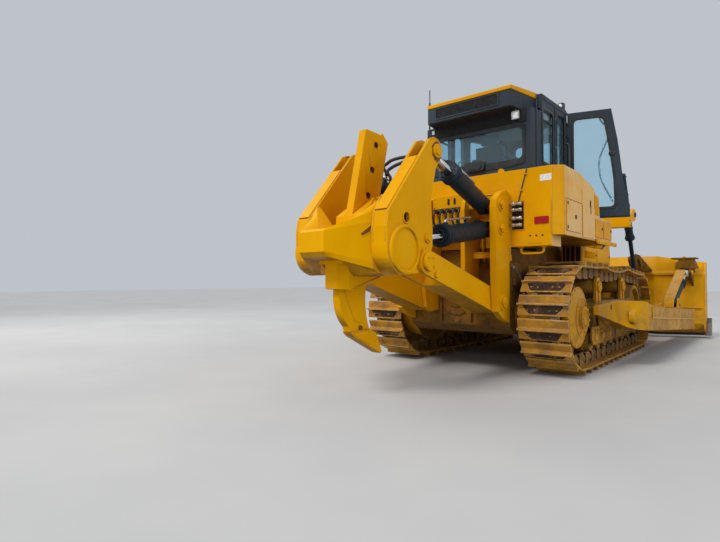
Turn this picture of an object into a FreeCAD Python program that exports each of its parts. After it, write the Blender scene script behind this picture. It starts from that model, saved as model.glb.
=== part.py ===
import FreeCAD, Part
import math
import os

# Large crawler dozer with a single-shank ripper.
# Millimetres. +X forward, +Y to the machine's left, +Z up, ground at z = 0.
# All x values below are counted from the sprocket axle; x_shift moves the
# whole machine so that its length is centred on the origin.

V3 = FreeCAD.Vector
doc = FreeCAD.newDocument("crawler_dozer")
sheet = doc.addObject("Spreadsheet::Sheet", "Dims")
CELLS = {}


def cell(alias, value, note=""):
    """One named driving dimension, a plain number in the sheet."""
    row = len(CELLS) + 1
    sheet.set("A%d" % row, alias)
    sheet.set("B%d" % row, "%.6g" % value)
    if note:
        sheet.set("C%d" % row, note)
    sheet.setAlias("B%d" % row, alias)
    CELLS[alias] = float("%.6g" % value)
    return CELLS[alias]


# ---- named driving dimensions: alias, value, note -------------------------
for alias, value, note in (
    ("x_shift", -1508, "sprocket axle from the middle of the length"),
    ("track_half_gauge", 1250, "track centre line from the middle plane"),
    ("shoe_width", 640, "track shoe, side to side"),
    ("link_count", 39, "links in one track loop"),
    ("sprocket_pin_radius", 607, "pin circle on the sprocket"),
    ("sprocket_height", 765, "sprocket axle above the ground"),
    ("idler_pin_radius", 560, "pin circle on the idler"),
    ("idler_x", 3600, "idler axle from the sprocket axle"),
    ("pin_to_plate", 70, "link pin to the shoe plate"),
    ("plate_thick", 22, "shoe plate"),
    ("pin_to_grouser", 158, "link pin to the grouser tip"),
    ("link_inner", 75, "link pin to the rail face"),
    ("roller_radius", 130, "track roller tread"),
    ("carrier_radius", 108, "carrier roller tread"),
    ("blade_half_width", 2280, "middle plane to the blade's end"),
    ("blade_top", 1800, "top edge of the blade's middle"),
    ("cab_floor", 2100, "foot well of the cab"),
    ("cab_seat_deck", 2700, "rear base of the cab, on the tank"),
    ("cab_wall_top", 3975, "top of the cab's walls"),
    ("wall_thick", 60, "cab wall"),
    ("shank_thick", 100, "ripper shank"),
    ("shank_half_width", 205, "ripper shank, half of its width"),
    ("shank_lean", 13.4, "ripper shank, degrees, top forward"),
):
    cell(alias, value, note)
D = CELLS
XS = D["x_shift"]
SIDES = (("r", -1), ("l", 1))        # suffix, sign of y


def bind(obj, prop, alias, value):
    """A size of obj, driven by a cell of its own or by a named one."""
    alias = alias.replace("-", "n")
    if alias not in CELLS:
        cell(alias, value)
    obj.setExpression(prop, "Dims." + alias)


def box(name, x, y, z):
    """Block between two x, two y and two z values."""
    ob = doc.addObject("Part::Box", name)
    for prop, tag, (a, b) in (("Length", "len", x), ("Width", "wid", y), ("Height", "hei", z)):
        bind(ob, prop, name + "_" + tag, abs(b - a))
    ob.Placement = FreeCAD.Placement(V3(min(x) + XS, min(y), min(z)), FreeCAD.Rotation())
    return ob


def rod(name, radius, a, b):
    """Round bar of one radius from point a to point b."""
    a, b = V3(*a), V3(*b)
    ob = doc.addObject("Part::Cylinder", name)
    bind(ob, "Radius", name + "_rad", radius)
    bind(ob, "Height", name + "_hei", (b - a).Length)
    ob.Placement = FreeCAD.Placement(a + V3(XS, 0, 0), FreeCAD.Rotation(V3(0, 0, 1), b - a))
    return ob


def cone(name, r1, r2, a, b):
    a, b = V3(*a), V3(*b)
    ob = doc.addObject("Part::Cone", name)
    bind(ob, "Radius1", name + "_ra", r1)
    bind(ob, "Radius2", name + "_rb", r2)
    bind(ob, "Height", name + "_hei", (b - a).Length)
    ob.Placement = FreeCAD.Placement(a + V3(XS, 0, 0), FreeCAD.Rotation(V3(0, 0, 1), b - a))
    return ob


def outline(points):
    """Closed outline; a point (mid, end) pair of pairs is an arc through mid."""
    geo, here = [], None
    first = points[0]
    pts = list(points[1:]) + [first]
    here = V3(first[0], first[1], 0)
    for p in pts:
        if isinstance(p[0], tuple):
            mid, end = V3(p[0][0], p[0][1], 0), V3(p[1][0], p[1][1], 0)
            geo.append(Part.Arc(here, mid, end))
        else:
            end = V3(p[0], p[1], 0)
            if (end - here).Length < 1e-6:
                continue
            geo.append(Part.LineSegment(here, end))
        here = end
    return geo


PLANES = {"XZ": "XZ_Plane", "XY": "XY_Plane", "YZ": "YZ_Plane"}


def plate(name, plane, points, lo, hi):
    """Padded outline. XZ: x,z outline between two y. XY: x,y between two z.
    YZ: y,z outline between two x."""
    body = doc.addObject("PartDesign::Body", name)
    sk = body.newObject("Sketcher::SketchObject", name + "_outline")
    support = [f for f in body.Origin.OriginFeatures if f.Role == PLANES[plane]][0]
    sk.AttachmentSupport = [(support, "")]
    sk.MapMode = "FlatFace"
    sk.addGeometry(outline(points), False)
    pad = body.newObject("PartDesign::Pad", name + "_pad")
    pad.Profile = sk
    bind(pad, "Length", name + "_thick", hi - lo)
    body.Tip = pad
    base = {"XZ": V3(XS, hi, 0), "XY": V3(XS, 0, lo), "YZ": V3(lo + XS, 0, 0)}[plane]
    body.Placement = FreeCAD.Placement(base, FreeCAD.Rotation())
    return body


def loft(name, sections):
    """Straight loft through closed outlines; a section is a list of x,y,z points,
    where ((mid), (end)) is an arc."""
    wires = []
    for i, sec in enumerate(sections):
        edges, here = [], V3(*sec[0])
        start = here
        for p in list(sec[1:]) + [sec[0]]:
            if isinstance(p[0], tuple):
                mid, end = V3(*p[0]), V3(*p[1])
                edges.append(Part.Arc(here, mid, end).toShape())
            else:
                end = V3(*p)
                edges.append(Part.LineSegment(here, end).toShape())
            here = end
        w = doc.addObject("Part::Feature", "%s_sec%d" % (name, i))
        w.Shape = Part.Wire(edges)
        w.Placement = FreeCAD.Placement(V3(XS, 0, 0), FreeCAD.Rotation())
        wires.append(w)
    ob = doc.addObject("Part::Loft", name)
    ob.Sections = wires
    ob.Solid = True
    ob.Ruled = True
    return ob


def fuse(name, parts):
    if len(parts) == 1:
        return parts[0]
    ob = doc.addObject("Part::MultiFuse", name)
    ob.Shapes = parts
    return ob


def cut(name, base, tools):
    tool = tools[0] if len(tools) == 1 else fuse(name + "_tools", tools)
    ob = doc.addObject("Part::Cut", name)
    ob.Base, ob.Tool = base, tool
    return ob


def group(name, parts):
    """Like pieces that don't touch, kept as separate solids of one node."""
    ob = doc.addObject("Part::Compound", name)
    ob.Links = parts
    return ob


NODES = []


def node(ob, label):
    ob.Label = label
    NODES.append(ob)
    return ob


PAIRS = {}


def side_piece(ob, label):
    """One side's piece of a node that holds the same piece on both sides."""
    PAIRS.setdefault(label, []).append(ob)


# ---- tracks ----------------------------------------------------------------
SP = (0.0, D["sprocket_height"])
ID = (D["idler_x"], D["pin_to_grouser"] + D["idler_pin_radius"])
CARRIERS = (1000.0, 2440.0)          # x of the carrier rollers
TOP_PIN = SP[1] + D["sprocket_pin_radius"]


def pin_line():
    """Dense points of the pin line, starting under the sprocket, clockwise seen
    from the right side: sprocket wrap, top run with its sags, idler wrap, ground run."""
    pts = []
    for i in range(0, 181, 2):
        a = math.radians(-90 - i)
        pts.append((SP[0] + D["sprocket_pin_radius"] * math.cos(a), SP[1] + D["sprocket_pin_radius"] * math.sin(a)))
    idler_top = ID[1] + D["idler_pin_radius"]
    stops = ((0.0, TOP_PIN), (CARRIERS[0], TOP_PIN), (CARRIERS[1], TOP_PIN - 6), (ID[0], idler_top))
    for (xa, za), (xb, zb), sag in zip(stops[:-1], stops[1:], (16.0, 60.0, 22.0)):
        for i in range(1, 31):
            q = i / 30.0
            pts.append((xa + (xb - xa) * q, za + (zb - za) * q - 4 * sag * q * (1 - q)))
    for i in range(2, 181, 2):
        a = math.radians(90 - i)
        pts.append((ID[0] + D["idler_pin_radius"] * math.cos(a), ID[1] + D["idler_pin_radius"] * math.sin(a)))
    n = 40
    for i in range(1, n):
        q = i / float(n)
        pts.append((ID[0] * (1 - q), D["pin_to_grouser"]))
    return pts


def pins(phase):
    """Evenly spaced link pins along the pin line; phase in links."""
    pts = pin_line()
    loop = pts + [pts[0]]
    cum = [0.0]
    for a, b in zip(loop[:-1], loop[1:]):
        cum.append(cum[-1] + math.hypot(b[0] - a[0], b[1] - a[1]))
    total, n = cum[-1], int(D["link_count"])
    out, k = [], 0
    for i in range(n):
        dist = ((i + phase) / n * total) % total
        k = max(j for j in range(len(cum)) if cum[j] <= dist)
        k = min(k, len(loop) - 2)
        q = (dist - cum[k]) / (cum[k + 1] - cum[k])
        a, b = loop[k], loop[k + 1]
        out.append((a[0] + (b[0] - a[0]) * q, a[1] + (b[1] - a[1]) * q))
    return out


def track(name, side, phase):
    """One closed loop: shoe plates with one grouser each, on two link rails."""
    P = pins(phase)
    n = len(P)
    outer, plate_in, rail_out, rail_in = [], [], [], []
    for i in range(n):
        a, b = P[i], P[(i + 1) % n]
        p = P[(i - 1) % n]
        q = P[(i + 2) % n]
        L = math.hypot(b[0] - a[0], b[1] - a[1])
        t = ((b[0] - a[0]) / L, (b[1] - a[1]) / L)
        o = (-t[1], t[0])                                # outward for this direction
        if (o[0] * ((a[0] + b[0]) / 2 - ID[0] / 2) + o[1] * ((a[1] + b[1]) / 2 - SP[1])) < 0:
            o = (-o[0], -o[1])

        def at(along, out):
            return (a[0] + t[0] * along + o[0] * out, a[1] + t[1] * along + o[1] * out)
        hi = D["pin_to_plate"] + D["plate_thick"]
        tip = D["pin_to_grouser"]
        outer += [at(3, hi), at(L * 0.5 - 19, hi), at(L * 0.5 - 11, tip), at(L * 0.5 + 11, tip),
                  at(L * 0.5 + 19, hi), at(L - 3, hi)]
        plate_in += [at(L * 0.5, D["pin_to_plate"])]
        rail_out += [at(L * 0.5, D["pin_to_plate"] + 8)]
        rail_in += [at(L * 0.5, -D["link_inner"])]
    yc = side * D["track_half_gauge"]
    half = D["shoe_width"] / 2

    def ring(out, inn, y0, y1):
        solids = []
        for line, ya, yb in ((out, y0, y1), (inn, y0 - 5, y1 + 5)):
            wire = Part.makePolygon([V3(x, ya, z) for x, z in line + line[:1]])
            solids.append(Part.Face(wire).extrude(V3(0, yb - ya, 0)))
        return solids[0].cut(solids[1])
    shoes = ring(outer, plate_in, yc - half, yc + half)
    rails = [ring(rail_out, rail_in, yc + s * 135 - 32, yc + s * 135 + 32) for s in (-1, 1)]
    shape = shoes.fuse(rails)
    print(name, shoes.isValid(), [r.isValid() for r in rails], shape.isValid(), len(shape.Solids))
    ob = doc.addObject("Part::Feature", name)
    ob.Shape = shape if shape.ShapeType == "Solid" else shape.Solids[0]
    ob.Placement = FreeCAD.Placement(V3(XS, 0, 0), FreeCAD.Rotation())
    return ob, len(shape.Solids)


# phase of the links on the two sides, so that grousers meet the ground as seen
for (tag, side), phase in zip(SIDES, (0.5, 0.02)):
    ob, count = track("track_" + tag, side, phase)
    if count != 1:
        raise RuntimeError("track is %d solids" % count)
    node(ob, "track_" + tag)

# sprocket: toothed ring and disc round the final drive's core
for tag, side in SIDES:
    yc = side * D["track_half_gauge"]
    teeth = 27
    pts = []
    for i in range(teeth):
        for da, r in ((-4.4, 566.0), (-2.3, 640.0), (2.3, 640.0), (4.4, 566.0)):
            a = math.radians(i * 360.0 / teeth + da)
            pts.append((r * math.cos(a), SP[1] + r * math.sin(a)))
    ring = plate("sprocket_ring_" + tag, "XZ", pts, yc - 45, yc + 45)
    bore = rod("sprocket_bore_" + tag, 330, (0, yc - 60, SP[1]), (0, yc + 60, SP[1]))
    side_piece(cut("sprocket_" + tag, ring, [bore]), "sprockets")

# final drive: inner case, core through the sprocket, outer cover with its hub
for tag, side in SIDES:
    s = side
    z = SP[1]
    parts = [
        rod("drive_inner_" + tag, 400, (0, s * 800, z), (0, s * 1095, z)),
        rod("drive_core_" + tag, 325, (0, s * 1090, z), (0, s * 1420, z)),
        rod("drive_cover_" + tag, 405, (0, s * 1400, z), (0, s * 1470, z)),
        cone("drive_taper_" + tag, 400, 250, (0, s * 1470, z), (0, s * 1530, z)),
        rod("drive_hub_" + tag, 150, (0, s * 1525, z), (0, s * 1575, z)),
    ]
    side_piece(fuse("final_drive_" + tag, parts), "final_drives")

# idler: two treads and a centre flange on a hub
for tag, side in SIDES:
    yc = side * D["track_half_gauge"]
    r = D["idler_pin_radius"] - D["link_inner"] - 36
    parts = [
        rod("idler_tread_" + tag, r, (ID[0], yc - 165, ID[1]), (ID[0], yc + 165, ID[1])),
        rod("idler_flange_" + tag, r + 32, (ID[0], yc - 60, ID[1]), (ID[0], yc + 60, ID[1])),
        rod("idler_hub_" + tag, 110, (ID[0], yc - 200, ID[1]), (ID[0], yc + 200, ID[1])),
    ]
    groove = [rod("idler_dish%d_%s" % (k, tag), r - 60, (ID[0], yc + k * 90, ID[1]), (ID[0], yc + k * 170, ID[1])) for k in (-1, 1)]
    dished = cut("idler_dished_" + tag, fuse("idler_disc_" + tag, parts[:2]), groove)
    side_piece(fuse("idler_" + tag, [dished, parts[2]]), "idlers")

# track rollers under the frame and carrier rollers above it
ROLLER_X = [760.0 + 376.0 * i for i in range(7)]
for tag, side in SIDES:
    yc = side * D["track_half_gauge"]
    zr = D["pin_to_grouser"] + D["link_inner"] + 2 + D["roller_radius"]
    lower = []
    for i, x in enumerate(ROLLER_X):
        tread = rod("roller%d_tread_%s" % (i, tag), D["roller_radius"], (x, yc - 170, zr), (x, yc + 170, zr))
        flange = rod("roller%d_flange_%s" % (i, tag), D["roller_radius"] + 24, (x, yc - 90, zr), (x, yc + 90, zr))
        axle = rod("roller%d_axle_%s" % (i, tag), 45, (x, yc - 205, zr), (x, yc + 205, zr))
        lower.append(fuse("roller%d_%s" % (i, tag), [tread, flange, axle]))
    side_piece(group("track_rollers_" + tag, lower), "track_rollers")
    upper = []
    for i, x in enumerate(CARRIERS):
        zc = TOP_PIN - 6 * i - D["link_inner"] - 30 - D["carrier_radius"]
        tread = rod("carrier%d_tread_%s" % (i, tag), D["carrier_radius"], (x, yc - 165, zc), (x, yc + 165, zc))
        shaft = rod("carrier%d_shaft_%s" % (i, tag), 50, (x, yc - 190, zc), (x, yc + 200, zc) if side > 0 else (x, yc + 190, zc))
        stand = box("carrier%d_stand_%s" % (i, tag), (x - 70, x + 70), (yc + side * 175, yc + side * 215), (948, zc + 60))
        foot = box("carrier%d_foot_%s" % (i, tag), (x - 95, x + 95), (yc + side * 120, yc + side * 215), (948, 975))
        upper.append(fuse("carrier%d_%s" % (i, tag), [tread, shaft, stand, foot]))
    side_piece(group("carrier_rollers_" + tag, upper), "carrier_rollers")

# track frame: box beam with roller guards and the idler's fork
for tag, side in SIDES:
    yc = side * D["track_half_gauge"]
    beam = plate("track_beam_" + tag, "XZ", [(760, 560), (3070, 560), (3070, 880), (2900, 945), (900, 945), (760, 860)], yc - 215, yc + 215)
    forks = [box("idler_fork%d_%s" % (k, tag), (3060, 3760), (yc + k * 210, yc + k * 240), (600, 830)) for k in (-1, 1)]
    guards = [plate("roller_guard%d_%s" % (k, tag), "XZ", [(620, 330), (3160, 330), (3200, 420), (3200, 600), (600, 600), (580, 430)],
                    yc + (215 if k > 0 else -240), yc + (240 if k > 0 else -215)) for k in (-1, 1)]
    side_piece(fuse("track_frame_" + tag, [beam] + forks + guards), "track_frames")

# trunnion that carries the push arm, and the pivot shaft stub
PUSH_PIVOT = (1050.0, 720.0)
for tag, side in SIDES:
    a = rod("trunnion_base_" + tag, 190, (PUSH_PIVOT[0], side * 1492, PUSH_PIVOT[1]), (PUSH_PIVOT[0], side * 1530, PUSH_PIVOT[1]))
    b = rod("trunnion_ball_" + tag, 125, (PUSH_PIVOT[0], side * 1520, PUSH_PIVOT[1]), (PUSH_PIVOT[0], side * 1628, PUSH_PIVOT[1]))
    side_piece(fuse("trunnion_" + tag, [a, b]), "trunnions")
node(group("pivot_shaft", [rod("pivot_stub_" + t, 130, (1150, s * 622, 760), (1150, s * 1033, 760)) for t, s in SIDES]), "pivot_shaft")
node(box("equalizer_bar", (2640, 2860), (-1005, 1005), (470, 640)), "equalizer_bar")

# ---- main frame ------------------------------------------------------------
case = plate("steering_case", "XZ", [(-600, 640), (-420, 520), (560, 520), (640, 620), (640, 1500), (-600, 1500)], -795, 795)
rails = plate("frame_rails", "XZ", [(600, 660), (4300, 660), (4700, 900), (4700, 1040), (3960, 1040), (3960, 1340), (600, 1400)], -615, 615)
deck = box("tank_saddle", (-540, 850), (-760, 760), (1490, 1690))
node(fuse("main_frame", [case, rails, deck]), "main_frame")
guards = [box("belly_plate%d" % i, xs, (-600, 600), (590, 655)) for i, xs in enumerate(((700, 2600), (2900, 4200)))]
node(group("belly_guard", guards), "belly_guard")
node(box("engine_block", (2560, 3760), (-430, 430), (1405, 2200)), "engine_block")
node(box("transmission_cover", (860, 2430), (-600, 600), (1410, 2090)), "transmission_cover")

# ---- hood, radiator guard, grille, stack -----------------------------------
HOOD = (2470, 3950)
node(plate("hood_top", "YZ", [(-600, 2330), (-570, 2330), (-570, 2395), (-480, 2420), (480, 2420), (570, 2395), (570, 2330), (600, 2330), (600, 2410), (490, 2450), (-490, 2450), (-600, 2410)], HOOD[0], HOOD[1]), "hood_top")
for tag, side in SIDES:
    y = (side * 570, side * 600)
    side_piece(box("engine_side_" + tag, HOOD, y, (1420, 2325)), "engine_sides")
shell = plate("radiator_shell", "XZ", [(3965, 1050), (4700, 1050), (4740, 1120), (4700, 2400), (4600, 2500), (3965, 2500)], -720, 720)
recess = box("radiator_recess", (4560, 4800), (-600, 600), (1180, 2380))
node(cut("radiator_guard", shell, [recess]), "radiator_guard")
frame = box("grille_plate", (4600, 4640), (-592, 592), (1190, 2370))
slots = [box("grille_slot%d" % i, (4580, 4660), (-540, 540), (1250 + i * 90, 1290 + i * 90)) for i in range(12)]
node(cut("radiator_grille", frame, slots), "radiator_grille")
node(fuse("exhaust_stack", [rod("stack_muffler", 120, (2900, 260, 2455), (2900, 260, 2720)), rod("stack_pipe", 65, (2900, 260, 2700), (2900, 260, 3300))]), "exhaust_stack")
node(fuse("air_precleaner", [rod("precleaner_neck", 80, (3250, -260, 2455), (3250, -260, 2660)), rod("precleaner_bowl", 150, (3250, -260, 2650), (3250, -260, 2860))]), "air_precleaner")

# ---- rear tank, side boxes, fenders ----------------------------------------
# plan outline of the tank with its bevelled corners
TANK_PLAN = [(-550, -1340), (-455, -1460), (860, -1460), (860, 1460), (-455, 1460), (-550, 1340)]
tank = plate("tank_shell", "XY", TANK_PLAN, 1840, 2732)
skirt = plate("tank_skirt", "XY", [(-550, -1330), (-200, -1330), (-200, 1330), (-550, 1330)], 1700, 1850)
saddle_gap = box("tank_saddle_gap", (-600, 900), (-765, 765), (1600, 1695))
cab_seat = box("tank_cab_seat", (-40, 950), (-950, 950), (2690, 2800))
fall = plate("tank_fall", "XZ", [(120, 2734), (120, 2800), (950, 2800), (950, 2592)], -1600, 1600)
node(cut("fuel_tank", fuse("tank_body", [tank, skirt]), [saddle_gap, cab_seat, fall]), "fuel_tank")
for tag, side in SIDES:
    a, b = sorted((side * 940, side * 1450))
    side_piece(fuse("step_box_" + tag, [plate("step_box_out_" + tag, "XZ", [(870, 1870), (1830, 1870), (1830, 2205), (1180, 2205), (1130, 2520), (870, 2580)], a, b),
                                   box("step_box_in_" + tag, (870, 1830), (side * 640, side * 945), (1870, 2092))]), "step_boxes")
    side_piece(fuse("fender_" + tag, [box("fender_plate_" + tag, (870, 1960), (side * 640, side * 1500), (1835, 1862)),
                                 box("fender_lip_" + tag, (870, 1960), (side * 1480, side * 1500), (1800, 1862))]), "fenders")
    side_piece(box("side_box_" + tag, (1700, 3500), (side * 700, side * 1020), (1560, 1825)), "side_boxes")
node(box("rear_valve_box", (-800, -560), (-275, 275), (1900, 2450)), "rear_valve_box")
steps = []
for tag, side in SIDES:
    arms = [box("step_leg%d_%s" % (k, tag), (-500, -470), (side * (910 + 270 * k), side * (940 + 270 * k)), (1600, 1699)) for k in (0, 1)]
    tread = box("step_tread_" + tag, (-520, -450), (side * 910, side * 1210), (1580, 1610))
    steps.append(fuse("rear_step_" + tag, arms + [tread]))
node(group("rear_steps", steps), "rear_steps")

# ---- cab -------------------------------------------------------------------
T = D["wall_thick"]
HINGE = (1350.0, 925.0)                     # door hinge line, x and half width
TAPER = math.radians(17.1)                  # the front sides turn in by this much
NOSE = (2380.0, 925.0 - (2380.0 - 1350.0) * math.tan(TAPER))


def cab_plan(inset, x_from=None):
    """Outline of the cab seen from above, set in by inset."""
    i = inset
    right = [(-20 + i, 862 - i * 0.6), (60 + i, 892 - i * 0.95), (HINGE[0], HINGE[1] - i), (NOSE[0], NOSE[1] - i), (2450 - i, NOSE[1] - 90 - i * 0.6)]
    if x_from is not None:
        w = 892 + (x_from - 60) / (HINGE[0] - 60) * (HINGE[1] - 892) - i
        right = [(x_from, w)] + right[2:]
    return [(x, -y) for x, y in right] + [(x, y) for x, y in reversed(right)]


upper = plate("cab_upper", "XY", cab_plan(0), D["cab_seat_deck"], D["cab_wall_top"])
lower = plate("cab_lower", "XY", cab_plan(0, 872.0), D["cab_floor"], D["cab_seat_deck"])
hollow_up = plate("cab_hollow_up", "XY", cab_plan(T), D["cab_seat_deck"] + 50, D["cab_wall_top"] + 50)
hollow_low = plate("cab_hollow_low", "XY", cab_plan(T, 872.0 + T), D["cab_floor"] + 50, D["cab_seat_deck"] + 60)
cuts = [hollow_up, hollow_low,
        box("rear_window_cut", (-80, 100), (-765, 765), (2980, 3510)),
        box("rear_top_cut", (-80, 325), (-1000, 1000), (3722, 4100)),
        box("front_window_cut", (2300, 2520), (-430, 430), (2700, 3860))]
DOOR_LEN = 855.0
# doorway and door leaf in the door's own plane: along the leaf, height
DOORWAY = [(-28, 2235), (896, 2235), (896, 2423), (826, 2703), (801, 2865), (768, 3186), (733, 3469), (648, 4000), (-28, 4000)]
for tag, side in SIDES:
    cuts.append(box("side_window_cut_" + tag, (320, 745), (side * 780, side * 980), (2985, 3805)))
    cuts.append(box("slit_window_cut_" + tag, (875, 1225), (side * 780, side * 980), (2985, 3860)))
    ax, ay = math.cos(TAPER), -math.sin(TAPER)
    p0 = (HINGE[0] + 12, HINGE[1])
    inn, out = -120.0, 80.0
    rot = FreeCAD.Rotation(V3(0, 0, 1), -side * 17.1)
    y0, y1 = sorted((side * inn, side * out))
    gap = plate("door_cut_" + tag, "XZ", DOORWAY, y0, y1)
    gap.Placement = FreeCAD.Placement(V3(HINGE[0] + 12 + XS, side * HINGE[1], 0) + rot.multVec(V3(0, y1, 0)), rot)
    cuts.append(gap)
    quad = []
    for along, off in ((DOOR_LEN + 50, inn), (1020, inn), (1020, out), (DOOR_LEN + 50, out)):
        quad.append((p0[0] + ax * along + math.sin(TAPER) * off, side * (p0[1] + ay * along + math.cos(TAPER) * off)))
    cuts.append(plate("quarter_cut_" + tag, "XY", quad, 2700, 3860))
node(cut("cab_frame", fuse("cab_walls", [upper, lower]), cuts), "cab_frame")

# roof: grey box with a rear overhang and the thin yellow cap on it
ROOF_PLAN = [(425, -812), (330, -812), (330, -890), (HINGE[0], -915), (2330, -612), (2470, -480), (2470, 480), (2330, 612), (HINGE[0], 915), (330, 890), (330, 812), (425, 812)]
band = plate("roof_band", "XY", ROOF_PLAN, 3976, 4010)
duct = plate("roof_duct", "XY", [(-290, -680), (320, -790), (425, -800), (425, 800), (320, 790), (-290, 680)], 3724, 3945)
bulkhead = box("roof_bulkhead", (413, 445), (-800, 800), (3724, 4000))
node(fuse("cab_roof", [band, duct, bulkhead]), "cab_roof")
cap = plate("cap_slab", "XY", [(-302, -690), (318, -800), (408, -808), (408, 808), (318, 800), (-302, 690)], 3950, 4060)
cap_fall = plate("cap_fall", "XZ", [(-320, 4005), (430, 4044), (430, 4100), (-320, 4100)], -900, 900)
node(cut("roof_cap", cap, [cap_fall]), "roof_cap")

# fixed glass, one pane in each cut
panes = [box("rear_pane", (0, 12), (-759, 759), (2986, 3504)), box("front_pane", (2405, 2417), (-424, 424), (2706, 3854))]
for tag, side in SIDES:
    t1 = (HINGE[1] - 892) / (HINGE[0] - 60)
    for word, xa, xb, ztop in (("side", 326, 739, 3799), ("slit", 881, 1219, 3854)):
        ya, yb = 892 + (xa - 60) * t1 - 36, 892 + (xb - 60) * t1 - 36
        panes.append(plate(word + "_pane_" + tag, "XY", [(xa, side * ya), (xb, side * yb), (xb, side * (yb + 12)), (xa, side * (ya + 12))], 2991, ztop))
    ax, ay = math.cos(TAPER), -math.sin(TAPER)
    quad = []
    for along, off in ((DOOR_LEN + 58, -38), (1012, -38), (1012, -26), (DOOR_LEN + 58, -26)):
        quad.append((HINGE[0] + 12 + ax * along + math.sin(TAPER) * off, side * (HINGE[1] + ay * along + math.cos(TAPER) * off)))
    panes.append(plate("quarter_pane_" + tag, "XY", quad, 2706, 3854))
node(group("cab_glass", panes), "cab_glass")

# operator's seat on its base, two consoles and the front panel
seat = fuse("operator_seat", [
    box("seat_base", (500, 850), (-200, 200), (2750, 2860)),
    box("seat_cushion", (470, 1000), (-260, 260), (2860, 2990)),
    plate("seat_back", "XZ", [(455, 2980), (610, 2980), (545, 3405), (430, 3405)], -240, 240),
    plate("seat_headrest", "XZ", [(430, 3425), (530, 3425), (525, 3595), (437, 3595)], -150, 150),
    box("headrest_post", (460, 500), (-60, 60), (3400, 3430))])
node(seat, "operator_seat")
consoles = [box("console_" + t, (560, 1130), (s * 345, s * 540), (2750, 3060)) for t, s in SIDES]
node(group("cab_consoles", consoles + [box("front_panel", (2150, 2340), (-360, 360), (2155, 2780))]), "cab_consoles")

# doors, in their closed place, with the window hole; the right one is stored open
# outline in the leaf's own plane: along the leaf, height
LEAF = [(0, 2245), (885, 2245), (885, 2420), (815, 2700), (790, 2862), (757, 3183), (722, 3466), (636, 3966), (0, 3966)]
PANE = [(66, 2390), (702, 2390), (690, 2864), (652, 3183), (612, 3466), (545, 3880), (66, 3880)]


def leaf(name, points, y0, y1, tag, side, angle):
    """Upright plate in the door's plane, y0..y1 off it, turned about the hinge."""
    body = plate(name, "XZ", points, min(y0, y1), max(y0, y1))
    rot = FreeCAD.Rotation(V3(0, 0, 1), angle)
    off = rot.multVec(V3(0, max(y0, y1), 0))
    body.Placement = FreeCAD.Placement(V3(HINGE[0] + 12 + XS, side * HINGE[1], 0) + off, rot)
    return body


for tag, side, angle in (("r", -1, -72.9), ("l", 1, -17.1)):
    a = leaf("door_leaf_" + tag, LEAF, side * -45, side * 0, tag, side, angle)
    b = leaf("door_hole_" + tag, PANE, side * -80, side * 40, tag, side, angle)
    knuckles = [rod("door_knuckle%d_%s" % (i, tag), 19, (HINGE[0] + 12, side * HINGE[1], z), (HINGE[0] + 12, side * HINGE[1], z + t))
                for i, (z, t) in enumerate(((2450, 150), (3050, 100), (3600, 150)))]
    node(fuse("door_" + tag, [cut("door_panel_" + tag, a, [b])] + knuckles), "door_" + tag)
    small = [(x + (4 if x < 100 else -4), z + (4 if z < 2600 else (0 if z < 3700 else -4))) for x, z in PANE]
    node(leaf("door_glass_" + tag, small, side * -28, side * -18, tag, side, angle), "door_glass_" + tag)

# lamps and aerial
lamps = [box("rear_lamp_r", (-200, -120), (-765, -655), (3535, 3650)), box("rear_lamp_l", (-190, -130), (610, 685), (3560, 3650)),
         box("rear_lamp_post_r", (-170, -150), (-705, -675), (3645, 3724)), box("rear_lamp_post_l", (-170, -150), (638, 658), (3645, 3724))]
lamps += [box("front_lamp_" + t, (2300, 2370), (s * 300, s * 480), (4012, 4080)) for t, s in SIDES]
lamps += [rod("side_lamp_" + t, 60, (1300, s * 850, 4012), (1300, s * 850, 4140)) for t, s in SIDES]
node(group("work_lamps", lamps), "work_lamps")
node(rod("aerial", 8, (-250, 670, 4012), (-250, 670, 4270)), "aerial")

# ---- blade -----------------------------------------------------------------
# upright section of the mouldboard at a place y, moved forward by dx, top at zt
def blade_section(y, dx, zt):
    return [(5900 + dx, y, 110), (6010 + dx, y, 110), ((5812 + dx, y, 900), (5960 + dx, y, zt)), (5880 + dx, y, zt),
            (5760 + dx, y, 1470), (5600 + dx, y, 1400), (5600 + dx, y, 330), (5720 + dx, y, 200)]


HW = D["blade_half_width"]
WING = 1400.0                                 # where the wings turn forward
mid_part = loft("blade_middle", [blade_section(-WING, 0, D["blade_top"]), blade_section(WING, 0, D["blade_top"])])
wings = [loft("blade_wing_" + t, [blade_section(s * WING, 0, D["blade_top"]), blade_section(s * (HW - 30), 400, 1655)]) for t, s in SIDES]
ends = [plate("blade_end_" + t, "XZ", [(6020, 200), (6200, 105), (6440, 105), (6440, 600), (6400, 1200), (6400, 1655), (6240, 1655), (6020, 1400)],
              s * HW if s < 0 else HW - 30, -HW + 30 if s < 0 else HW) for t, s in SIDES]
BLADE = fuse("blade", [mid_part] + wings + ends)
node(BLADE, "blade")


def edge_section(y, dx):
    return [(5985 + dx, y, 330), (6035 + dx, y, 340), (6106 + dx, y, 40), (6066 + dx, y, 40), (6030 + dx, y, 108), (6008 + dx, y, 112)]


edges = [loft("edge_middle", [edge_section(-WING, 0), edge_section(WING, 0)])]
edges += [loft("edge_wing_" + t, [edge_section(s * WING, 0), edge_section(s * (HW - 30), 400)]) for t, s in SIDES]
edges += [plate("end_bit_" + t, "XZ", [(6130, 60), (6430, 60), (6440, 330), (6400, 430), (6200, 330)], s * (HW - 20) if s > 0 else -2360, 2360 if s > 0 else -(HW - 20)) for t, s in SIDES]
node(cut("cutting_edge", fuse("edge_blank", edges), [BLADE]), "cutting_edge")

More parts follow.
